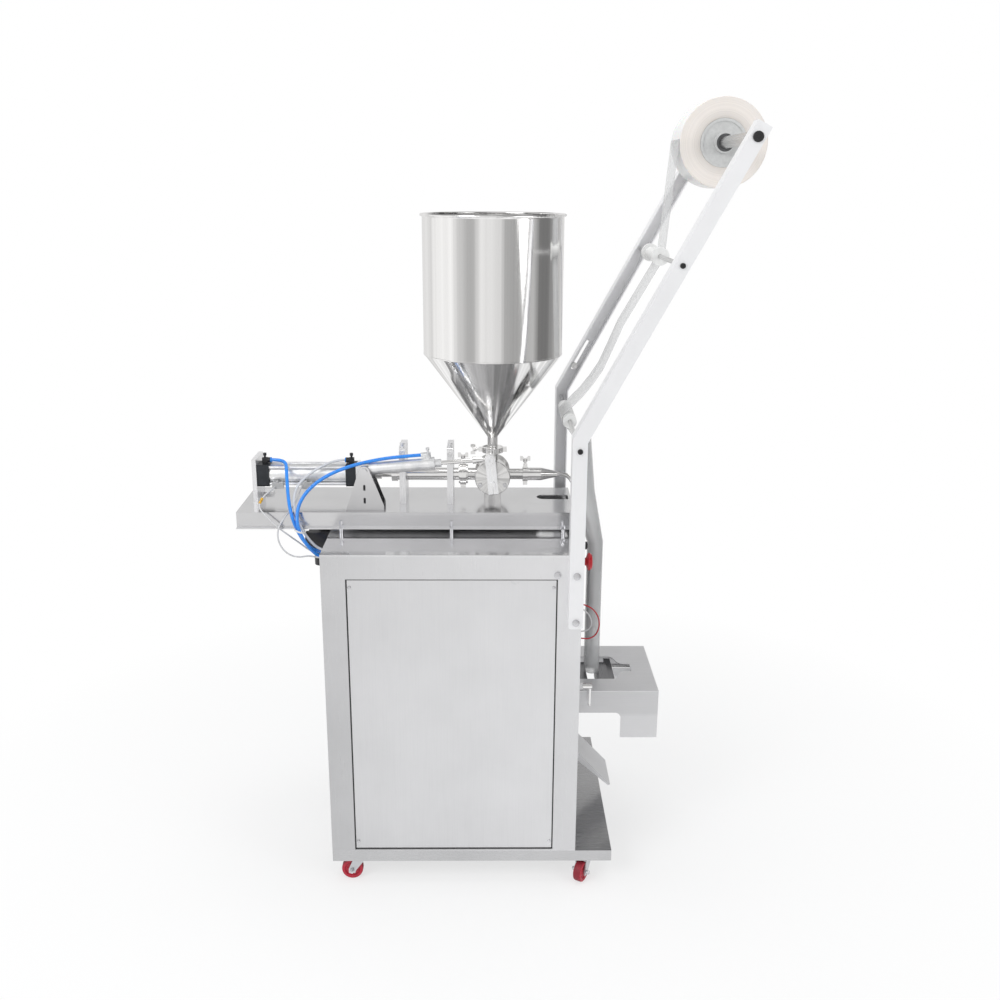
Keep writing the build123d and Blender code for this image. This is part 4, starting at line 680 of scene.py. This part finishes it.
class PACKER_OT_lines(bpy.types.Operator):
    """Make the air tubes, switch cables and heater wires"""
    bl_idname = "packer.lines"
    bl_label = "Lines"

    def execute(self, context):
        lines = context.scene.packer_lines
        blue = moulded("blue tube", lines.blue, 0.22, 90.0, 0.05, 0.04, Subsurface_Weight=0.12)
        clear = moulded("clear tube", (0.74, 0.76, 0.80), 0.16, 90.0, 0.04, 0.04, Alpha=0.72)
        white = moulded("cable white", (0.62, 0.62, 0.63), 0.38, 500.0, 0.05, 0.10)
        red = moulded("wire red", (0.50, 0.018, 0.030), 0.38, 500.0, 0.08, 0.12)
        rows = (
            ("blue_tube_rear", blue_tube_rear, lines.air, 0.334, blue, "blue_tube"),
            ("clear_tube", clear_tube, lines.clear, 0.337, clear, "clear_tube"),
            ("rear_switch_cable", rear_switch_cable, lines.cable, 0.295, white, "cable_white"),
            ("front_switch_cable", front_switch_cable, lines.cable, 0.297, white, "cable_white"),
            ("red_heater_wire", red_heater_wire, lines.wire, 0.190, red, "wire_red"),
            ("white_heater_wire", white_heater_wire, lines.wire, 0.133, white, "cable_white"),
        )
        for node, points, diameter, length, finish, slot in rows:
            line = route_curve(node + "_line", points, diameter, finish)
            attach(line, "machine")
            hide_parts(node)
        guide = route_curve("blue_tube_front_guide", blue_tube_front, lines.air, blue)
        path = followed_points(guide)
        tube = piece("blue_tube_front_line", shown_mesh(guide))
        bpy.data.objects.remove(guide)
        tube.data.shade_smooth()
        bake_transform(tube)
        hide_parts("blue_tube_front")
        return {"FINISHED"}


def tangent(point, centre, reach, side):
    """Where a straight run from a point meets a circle, all in X and Z."""
    dx, dz = point[0] - centre[0], point[1] - centre[1]
    turn = atan2(dz, dx) + side * acos(reach / hypot(dx, dz))
    return centre[0] + reach * cos(turn), centre[1] + reach * sin(turn)


def run(start, end, steps):
    """Points along a straight run in X and Z, its end left out."""
    return [(start[0] + (end[0] - start[0]) * k / steps, start[1] + (end[1] - start[1]) * k / steps)
            for k in range(steps)]


def wrap(roller, start, end, way):
    """Points round a roller from one tangent to another, clockwise (-1) or the other way (1)."""
    a = atan2(start[1] - roller[1], start[0] - roller[0])
    b = atan2(end[1] - roller[1], end[0] - roller[0])
    while (b - a) * way < 0:
        b += 2 * pi * way
    return [(roller[0] + roller[2] * cos(a + (b - a) * k / 12), roller[1] + roller[2] * sin(a + (b - a) * k / 12))
            for k in range(13)]


def film_rows():
    """Rows of the film from the roll to the jaws: X and Z of its middle, Y of its middle, and its bend radius."""
    skin = 0.0007
    roll = (roll_mid.x, roll_mid.z, roll_half.z + skin)
    upper = (upper_mid.x, upper_mid.z, 0.013 + skin)
    lower = (lower_mid.x, lower_mid.z, 0.016 + skin)
    dx, dz = roll[0] - upper[0], roll[1] - upper[1]
    reach = roll[2] + upper[2]
    way = atan2(dx, dz) - atan2(reach, (hypot(dx, dz) ** 2 - reach ** 2) ** 0.5)
    off = (roll[0] - roll[2] * cos(way), roll[1] + roll[2] * sin(way))
    on = (upper[0] + upper[2] * cos(way), upper[1] - upper[2] * sin(way))
    sag = [(lower[0] + 0.118, lower[1] + 0.218), (lower[0] + 0.095, lower[1] + 0.163),
           (lower[0] + 0.075, lower[1] + 0.117), (lower[0] + 0.053, lower[1] + 0.084),
           (lower[0] + 0.031, lower[1] + 0.056)]
    leave = tangent(sag[0], upper[:2], upper[2], 1)
    over = tangent(sag[-1], lower[:2], lower[2], 1)
    mouth = (front_x + 0.014, table_z + 0.203)
    down = tangent(mouth, lower[:2], lower[2], -1)
    path = run(off, on, 12) + wrap(upper, on, leave, -1) + run(leave, sag[0], 8)[1:] + sag
    path += wrap(lower, over, down, 1)
    flat = 9.0
    rows = [(x, z, roll_mid.y, flat) for x, z in path]
    for share, bend in ((0.25, 0.40), (0.5, 0.20), (0.75, 0.11)):
        x, z = down[0] + (mouth[0] - down[0]) * share, down[1] + (mouth[1] - down[1]) * share
        rows.append((x, z, roll_mid.y * (1 - share) ** 2, bend))
    lip_x, collar_x, tube_x = front_x + 0.0373, front_x + 0.0476, front_x + 0.0715
    lip_z, collar_z, tube_z, jaws_z = table_z + 0.180, table_z + 0.071, table_z - 0.059, table_z - 0.397
    rows += [(mouth[0], mouth[1], 0.0, 0.080), (front_x + 0.030, table_z + 0.1965, 0.0, 0.067),
             (front_x + 0.0362, table_z + 0.1930, 0.0, 0.0636), (lip_x, lip_z, 0.0, 0.0600)]
    for steps, start, end in ((10, (lip_x, lip_z, 0.0600), (collar_x, collar_z, 0.0355)),
                              (12, (collar_x, collar_z, 0.0355), (tube_x, tube_z, 0.0186)),
                              (24, (tube_x, tube_z, 0.0184), (tube_x, jaws_z, 0.0184))):
        for k in range(1, steps + 1):
            x, z, bend = (a + (b - a) * k / steps for a, b in zip(start, end))
            rows.append((x, z, 0.0, bend))
    return rows


class PACKER_OT_film(bpy.types.Operator):
    """Make the film's web from the roll over the rollers and round the forming collar"""
    bl_idname = "packer.film"
    bl_label = "Film web"

    def execute(self, context):
        film = context.scene.packer_film
        rows = film_rows()
        across = 28
        form = bmesh.new()
        grid = []
        for x, z, y, bend in rows:
            line = []
            for k in range(across + 1):
                u = 2 * k / across - 1
                turn = u * film.width / 2 / bend
                reach = bend + (0.0006 * u if bend < 0.02 else 0.0)
                line.append(form.verts.new((x - reach * (1 - cos(turn)), y + reach * sin(turn), z)))
            grid.append(line)
        for one, two in zip(grid, grid[1:]):
            for k in range(across):
                form.faces.new((one[k], one[k + 1], two[k + 1], two[k]))
        mesh = mesh_from(form, "film_web_sheet", closed=False)
        sheet = piece("film_web_sheet", mesh, clear_film("clear film", film.tint, 0.46))
        wall = sheet.modifiers.new("Gauge", "SOLIDIFY")
        wall.thickness = film.gauge
        wall.offset = 0.0
        made = plain_copy(sheet, "film_web_sheet")
        made.data.shade_smooth()
        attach(made, "machine")
        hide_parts("film_web")
        return {"FINISHED"}


class PACKER_OT_roll(bpy.types.Operator):
    """Make the wound roll of film"""
    bl_idname = "packer.film_roll"
    bl_label = "Film roll"

    def execute(self, context):
        film = context.scene.packer_film
        outer, half = roll_half.z, roll_half.y
        core, bevel, soft = 0.0512, 0.002, 0.0012
        outline = [(core, -half + bevel / 2), (core + bevel, -half)]
        steps, groove = 9, 0.0007
        for k in range(1, steps):
            r = core + bevel + (outer - core - bevel - soft) * k / steps
            outline.append((r, -half + groove * (k % 2)))
        outline += [(outer - soft, -half), (outer, -half + soft), (outer, half - soft), (outer - soft, half),
                    (core, half)]
        side = wound_side("wound side", film.wound, roll_mid)
        face_on = moulded("wound face", (0.93, 0.93, 0.92), 0.2, 30.0, 0.03, 0.03, Subsurface_Weight=0.1)
        mesh = turned(outline, facing((0, 1, 0), roll_mid), 128)
        roll = piece("film_roll_wound", mesh, side, face_on)
        for face in mesh.polygons:
            face.material_index = 1 if abs(face.normal.y) < 0.3 else 0
        smooth(mesh, 40)
        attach(roll, "roll")
        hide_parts("film_roll")
        return {"FINISHED"}


class PACKER_OT_wheels(bpy.types.Operator):
    """Make the caster wheels with their tread and hub"""
    bl_idname = "packer.wheels"
    bl_label = "Caster wheels"

    def execute(self, context):
        hardware = context.scene.packer_hardware
        tyre = moulded("wheel red", hardware.tyre, 0.42, 130.0, 0.08, 0.10)
        tread = moulded("wheel tread", shade(hardware.tyre, 0.55), 0.55, 90.0, 0.18, 0.15)
        half = [(0.0044, -0.0096), (0.0085, -0.0096), (0.0100, -0.0072), (0.0160, -0.0064), (0.0180, -0.0092),
                (0.0222, -0.0099), (0.0243, -0.0085), (0.0250, -0.0060)]
        outline = half + [(r, -z) for r, z in reversed(half)]
        for corner in corners:
            node = "caster_wheel_" + corner
            middle = middle_of(node)
            axle = axle_way(corner)
            mesh = turned(outline, facing(axle, middle), 56)
            wheel = piece("wheel_" + corner, mesh, tyre, tread)
            for face in mesh.polygons:
                away = face.center - middle
                radial = (away - axle * away.dot(axle)).length
                face.material_index = 1 if radial > 0.0238 else 0
            smooth(mesh, 35)
            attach(wheel, "wheel_" + corner)
            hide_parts(node)
            ribs = []
            for k in range(hardware.ribs):
                spin = Matrix.Rotation(2 * pi * k / hardware.ribs, 4, axle)
                out = spin @ axle.orthogonal().normalized()
                for side in (-1, 1):
                    ribs.append((middle + out * 0.0130 + axle * side * 0.0066, axle * side))
            heads("wheel_ribs_" + corner, "dome", 0.0019, "wheel_" + corner, tyre, ribs, hardware.seed)
            ends = [(middle + axle * side * 0.0174, axle * side) for side in (-1, 1)]
            heads("axle_ends_" + corner, "hexagon", 0.0050, "fork_" + corner, finished("bolt steel"), ends,
                  hardware.seed)
        return {"FINISHED"}


def axle_way(corner):
    """Direction of a caster's axle, from the way its wheel trails."""
    trail = {"near_rear": 180.0, "near_front": 240.0, "far_rear": 165.0, "far_front": 20.0}[corner]
    return Vector((-sin(radians(trail)), cos(radians(trail)), 0.0))


class PACKER_OT_hardware(bpy.types.Operator):
    """Make the screws, bolts and nuts over their plain CAD heads"""
    bl_idname = "packer.hardware"
    bl_label = "Screws and bolts"

    def execute(self, context):
        hardware = context.scene.packer_hardware
        steel, black = finished("bolt steel"), finished("button black")
        guard_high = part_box("guard")[1]
        web = half_wide + 0.038
        left, right = rear_x + 0.061, front_x - 0.061
        low, high = table_z - 0.705, table_z - 0.076
        rail_x = front_x - 0.0155
        cover, inside, outside, valve_y = half_wide - 0.0029, web - 0.0002, web + 0.0002, 0.0400
        rows = (
            ("cover_screws", "cross", hardware.screw, steel, 1.0,
             [(x, cover, z) for x in (left, right) for z in (low, high)]),
            ("rail_bolts", "button", hardware.bolt, steel, 0.6,
             [(rail_x, inside, table_z - 0.1405), (rail_x, inside, table_z - 0.0345),
              (front_x - 0.054, half_wide, table_z - 0.046)]),
            ("roller_shaft_screws", "socket", 0.0056, black, 0.70,
             [(mid.x, outside, mid.z) for mid in (upper_mid, lower_mid)]),
            ("roll_shaft_screws", "socket", 0.0104, black, 0.38, [(roll_mid.x, outside, roll_mid.z)]),
            ("valve_cover_bolts", "socket", 0.0045, steel, 1.0,
             [(valve.x + 0.0328 * cos(radians(turn)), valve_y, valve.z + 0.0328 * sin(radians(turn)))
              for turn in (90, 210, 330)]),
        )
        for name, kind, radius, finish, tall, spots in rows:
            places = [((x, side * y, z), (0, side, 0)) for side in (-1, 1) for x, y, z in spots]
            heads(name, kind, radius, "machine", finish, places, hardware.seed, tall)
        cap_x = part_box("air_cylinder_caps")[1].x - 0.0004
        ties = [((cap_x, y, valve.z + z), (1, 0, 0)) for y in (-0.0195, 0.0195) for z in (-0.0195, 0.0195)]
        heads("cap_screws", "socket", 0.0040, "machine", steel, ties, hardware.seed)
        studs = [((front_x - 0.0028, side * (guard_high.y + 0.018), z), (1, 0, 0))
                 for side in (-1, 1) for z in (guard_high.z - 0.012, guard_high.z - 0.045)]
        heads("front_panel_studs", "cross", 0.0036, "machine", steel, studs, hardware.seed)
        return {"FINISHED"}


def ring_piece(name, material, centre, way, radius, thick, wide, steps):
    """A rounded band about a centre, on the machine."""
    half = wide / 2
    soft = min(thick, half) * 0.4
    outline = [(radius, -half), (radius + thick - soft, -half), (radius + thick, -half + soft),
               (radius + thick, half - soft), (radius + thick - soft, half), (radius, half)]
    mesh = turned(outline, facing(way, centre), steps)
    smooth(mesh, 40)
    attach(piece(name, mesh, material), "machine")


def cover_shadow_gap(name, side):
    """Dark strip in the gap round a side cover, painted shadow where the frame's opening is larger than the panel.
    """
    x0, x1 = rear_x + 0.053, front_x - 0.053
    z0, z1 = table_z - 0.725, table_z - 0.056
    outer, inner = -0.0003, 0.0029
    y_out, y_in = side * (half_wide - 0.0032), side * (half_wide - 0.0040)
    form = bmesh.new()
    loops = []
    for inset in (outer, inner):
        for y in (y_out, y_in):
            loops.append([form.verts.new(co) for co in (
                (x0 + inset, y, z0 + inset), (x1 - inset, y, z0 + inset),
                (x1 - inset, y, z1 - inset), (x0 + inset, y, z1 - inset))])
    order = (loops[0], loops[1], loops[3], loops[2])
    for one, two in zip(order, order[1:] + order[:1]):
        for k in range(4):
            form.faces.new((one[k], one[(k + 1) % 4], two[(k + 1) % 4], two[k]))
    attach(piece(name, mesh_from(form, name), finished("cover seal")), "machine")


class PACKER_OT_trim(bpy.types.Operator):
    """Make the small trim: hopper seam, painted shadow in the cover gaps, tube rings, cable markers and the tube
    tie
    """
    bl_idname = "packer.trim"
    bl_label = "Trim"

    def execute(self, context):
        seam = finished("hopper steel")
        ring_piece("hopper_seam", seam, (valve.x, 0, seam_z), (0, 0, 1), 0.1562, 0.0012, 0.0034, 96)
        # painted shadow in the gaps round the side covers
        cover_shadow_gap("cover_seal_near", -1)
        cover_shadow_gap("cover_seal_far", 1)
        yellow = moulded("marker yellow", (0.75, 0.42, 0.03), 0.45)
        tie = moulded("tie white", (0.72, 0.72, 0.70), 0.4)
        blue = finished("blue tube")
        cable = (Vector(rear_switch_cable[3]) - Vector(rear_switch_cable[2])).normalized()
        spot = Vector((-0.5335, -0.089, 0.8862))
        tubes = Vector((-0.0102, 0.0, -0.0307)).normalized()
        rows = (
            ("rear_elbow_ring", blue, (-0.5252, 0, 0.9575), (1, 0, 0), 0.0042, 0.0022, 0.0026, 40),
            ("front_elbow_ring", blue, (-0.3512, 0, 0.9575), (1, 0, 0), 0.0032, 0.0026, 0.0026, 40),
            ("cable_marker_one", yellow, spot, cable, 0.0017, 0.0014, 0.0085, 24),
            ("cable_marker_two", yellow, spot + cable * 0.0095, cable, 0.0017, 0.0014, 0.0075, 24),
            ("tube_tie", tie, (-0.4405, -0.1390, 0.8285), tubes, 0.0125, 0.0010, 0.0040, 32),
        )
        for row in rows:
            ring_piece(*row)
        return {"FINISHED"}


class PACKER_OT_stage(bpy.types.Operator):
    """Set the camera, the pale floor, the lamps and the surroundings"""
    bl_idname = "packer.stage"
    bl_label = "Stage"

    def execute(self, context):
        stage = context.scene.packer_stage
        scene = context.scene
        scene.view_settings.view_transform = "Standard"
        add_camera(scene, stage)
        add_floor(stage)
        add_lamps()
        add_surroundings(scene)
        return {"FINISHED"}


def add_camera(scene, stage):
    """Camera at the photograph's place."""
    ahead = Vector((sin(stage.yaw) * cos(stage.pitch), cos(stage.yaw) * cos(stage.pitch), -sin(stage.pitch)))
    right = Vector((cos(stage.yaw), -sin(stage.yaw), 0.0))
    up = right.cross(ahead)
    side = right * cos(stage.roll) + up * sin(stage.roll)
    top = up * cos(stage.roll) - right * sin(stage.roll)
    data = bpy.data.cameras.new("Camera")
    data.lens = stage.lens
    data.sensor_width = 36.0
    data.clip_start = 0.05
    camera = bpy.data.objects.new("Camera", data)
    scene.collection.objects.link(camera)
    turn = Matrix((side, top, -ahead)).transposed().to_4x4()
    camera.matrix_world = Matrix.Translation(stage.eye) @ turn
    scene.camera = camera


def add_floor(stage):
    """Round pale floor that melts into the backdrop and keeps the object's shadow."""
    form = bmesh.new()
    bmesh.ops.create_circle(form, cap_ends=True, segments=96, radius=stage.floor_radius)
    mesh = mesh_from(form, "floor", closed=False)
    material = bpy.data.materials.new("floor paper")
    material.use_nodes = True
    tree = material.node_tree
    tree.nodes.clear()
    ray = add(tree, "ShaderNodeLightPath").outputs
    shown = ray["Is Camera Ray"]
    for kind in ("Is Glossy Ray", "Is Transmission Ray"):
        shown = maths(tree, "MAXIMUM", shown, ray[kind])
    share = spread(tree, from_line(tree, (0.0, 0.0, 0.0), (1.0, 1.0, 1.0)), 0.62, 1.0, 0.6, 1.6)
    part = maths(tree, "MULTIPLY", shown, share)
    paper = add(tree, "ShaderNodeBsdfDiffuse", {"Color": (*stage.paper, 1.0)})
    glow = add(tree, "ShaderNodeEmission", {"Color": (1.0, 1.0, 1.0, 1.0), "Strength": 1.0})
    add(tree, "ShaderNodeOutputMaterial", {"Surface": mixed(tree, part, paper, glow).outputs["Shader"]})
    piece("floor", mesh, material)


def add_lamps():
    """Three soft boxes: key from the left front, fill from the right, and one overhead."""
    rows = (("key", (-2.2, -2.6, 2.9), (-0.05, 0.0, 0.8), 1.8, 52.0),
            ("fill", (2.4, -2.2, 2.0), (0.1, 0.0, 0.7), 1.6, 20.0),
            ("overhead", (0.0, 0.3, 3.6), (0.0, 0.0, 0.6), 2.4, 34.0))
    for name, at, aim, size, power in rows:
        data = bpy.data.lights.new(name, "AREA")
        data.shape = "SQUARE"
        data.size = size
        data.energy = power
        lamp = bpy.data.objects.new(name, data)
        bpy.context.scene.collection.objects.link(lamp)
        lamp.matrix_world = facing(Vector(at) - Vector(aim), at)
        lamp.visible_glossy = name != "overhead"


def add_surroundings(scene):
    """White to the camera, an even room for matt faces, and a room with light and dark panels for metal."""
    world = bpy.data.worlds.new("surroundings")
    scene.world = world
    world.use_nodes = True
    tree = world.node_tree
    tree.nodes.clear()
    ray = add(tree, "ShaderNodeLightPath").outputs
    where = add(tree, "ShaderNodeTexCoord").outputs["Generated"]
    way = add(tree, "ShaderNodeSeparateXYZ", {"Vector": where}).outputs
    turn = maths(tree, "ARCTAN2", way["X"], maths(tree, "MULTIPLY", way["Y"], -1.0))
    height = maths(tree, "ARCSINE", way["Z"])
    # degrees round from the camera's side, and degrees up, each with how bright the room is there
    panels = ((-180, 0.8), (-120, 0.8), (-110, 1.0), (-70, 1.0), (-60, 0.7), (-40, 0.5), (-30, 0.5), (-20, 0.9),
              (10, 0.8), (20, 0.4), (70, 0.5), (80, 0.2), (100, 0.2), (130, 0.5), (160, 0.8), (180, 0.8))
    shelves = ((-90, 0.9), (-10, 1.0), (25, 1.0), (35, 0.3), (45, 0.3), (55, 0.9), (90, 0.7))
    round_room = ramped(tree, spread(tree, turn, 0.0, 1.0, -pi, pi),
                        [((a + 180) / 360, (b, b * 0.995, b * 0.99)) for a, b in panels])
    up_room = ramped(tree, spread(tree, height, 0.0, 1.0, -pi / 2, pi / 2),
                     [((a + 90) / 180, (b, b, b)) for a, b in shelves])
    room = add(tree, "ShaderNodeMix", {"Factor": 1.0, "A": round_room, "B": up_room}, data_type="RGBA",
               blend_type="MULTIPLY")
    seen = maths(tree, "MAXIMUM", ray["Is Camera Ray"], ray["Is Transmission Ray"])
    even = add(tree, "ShaderNodeBackground", {"Color": (0.80, 0.81, 0.82, 1.0), "Strength": 0.72})
    shiny = add(tree, "ShaderNodeBackground", {"Color": room.outputs["Result"], "Strength": 1.0})
    white = add(tree, "ShaderNodeBackground", {"Color": (1.0, 1.0, 1.0, 1.0), "Strength": 1.0})
    unseen = mixed(tree, ray["Is Glossy Ray"], even, shiny)
    add(tree, "ShaderNodeOutputWorld", {"Surface": mixed(tree, seen, unseen, white).outputs["Shader"]})


class PACKER_PT_panel(bpy.types.Panel):
    """Steps and sizes of the packing machine"""
    bl_idname = "PACKER_PT_panel"
    bl_label = "Packing machine"
    bl_space_type = "VIEW_3D"
    bl_region_type = "UI"
    bl_category = "Packing machine"

    def draw(self, context):
        for operator in operators:
            self.layout.operator(operator.bl_idname, text=operator.bl_label)
        for settings in setting_names:
            group = getattr(context.scene, settings)
            box = self.layout.box()
            for key in group.bl_rna.properties.keys():
                if key not in ("rna_type", "name"):
                    box.prop(group, key)


operators = (PACKER_OT_finishes, PACKER_OT_lines, PACKER_OT_film, PACKER_OT_roll, PACKER_OT_wheels,
             PACKER_OT_hardware, PACKER_OT_trim, PACKER_OT_stage)
setting_names = {"packer_stage": StageSettings, "packer_steel": SteelSettings, "packer_film": FilmSettings,
                 "packer_lines": LineSettings, "packer_hardware": HardwareSettings}
classes = (*setting_names.values(), *operators, PACKER_PT_panel)


def register():
    for cls in classes:
        bpy.utils.register_class(cls)
    for name, group in setting_names.items():
        setattr(bpy.types.Scene, name, bpy.props.PointerProperty(type=group))


def unregister():
    for name in setting_names:
        delattr(bpy.types.Scene, name)
    for cls in reversed(classes):
        bpy.utils.unregister_class(cls)


def main():
    register()
    bpy.ops.packer.stage()
    bpy.ops.packer.finishes()
    bpy.ops.packer.lines()
    bpy.ops.packer.film()
    bpy.ops.packer.film_roll()
    bpy.ops.packer.wheels()
    bpy.ops.packer.hardware()
    bpy.ops.packer.trim()


if __name__ == "__main__":
    main()
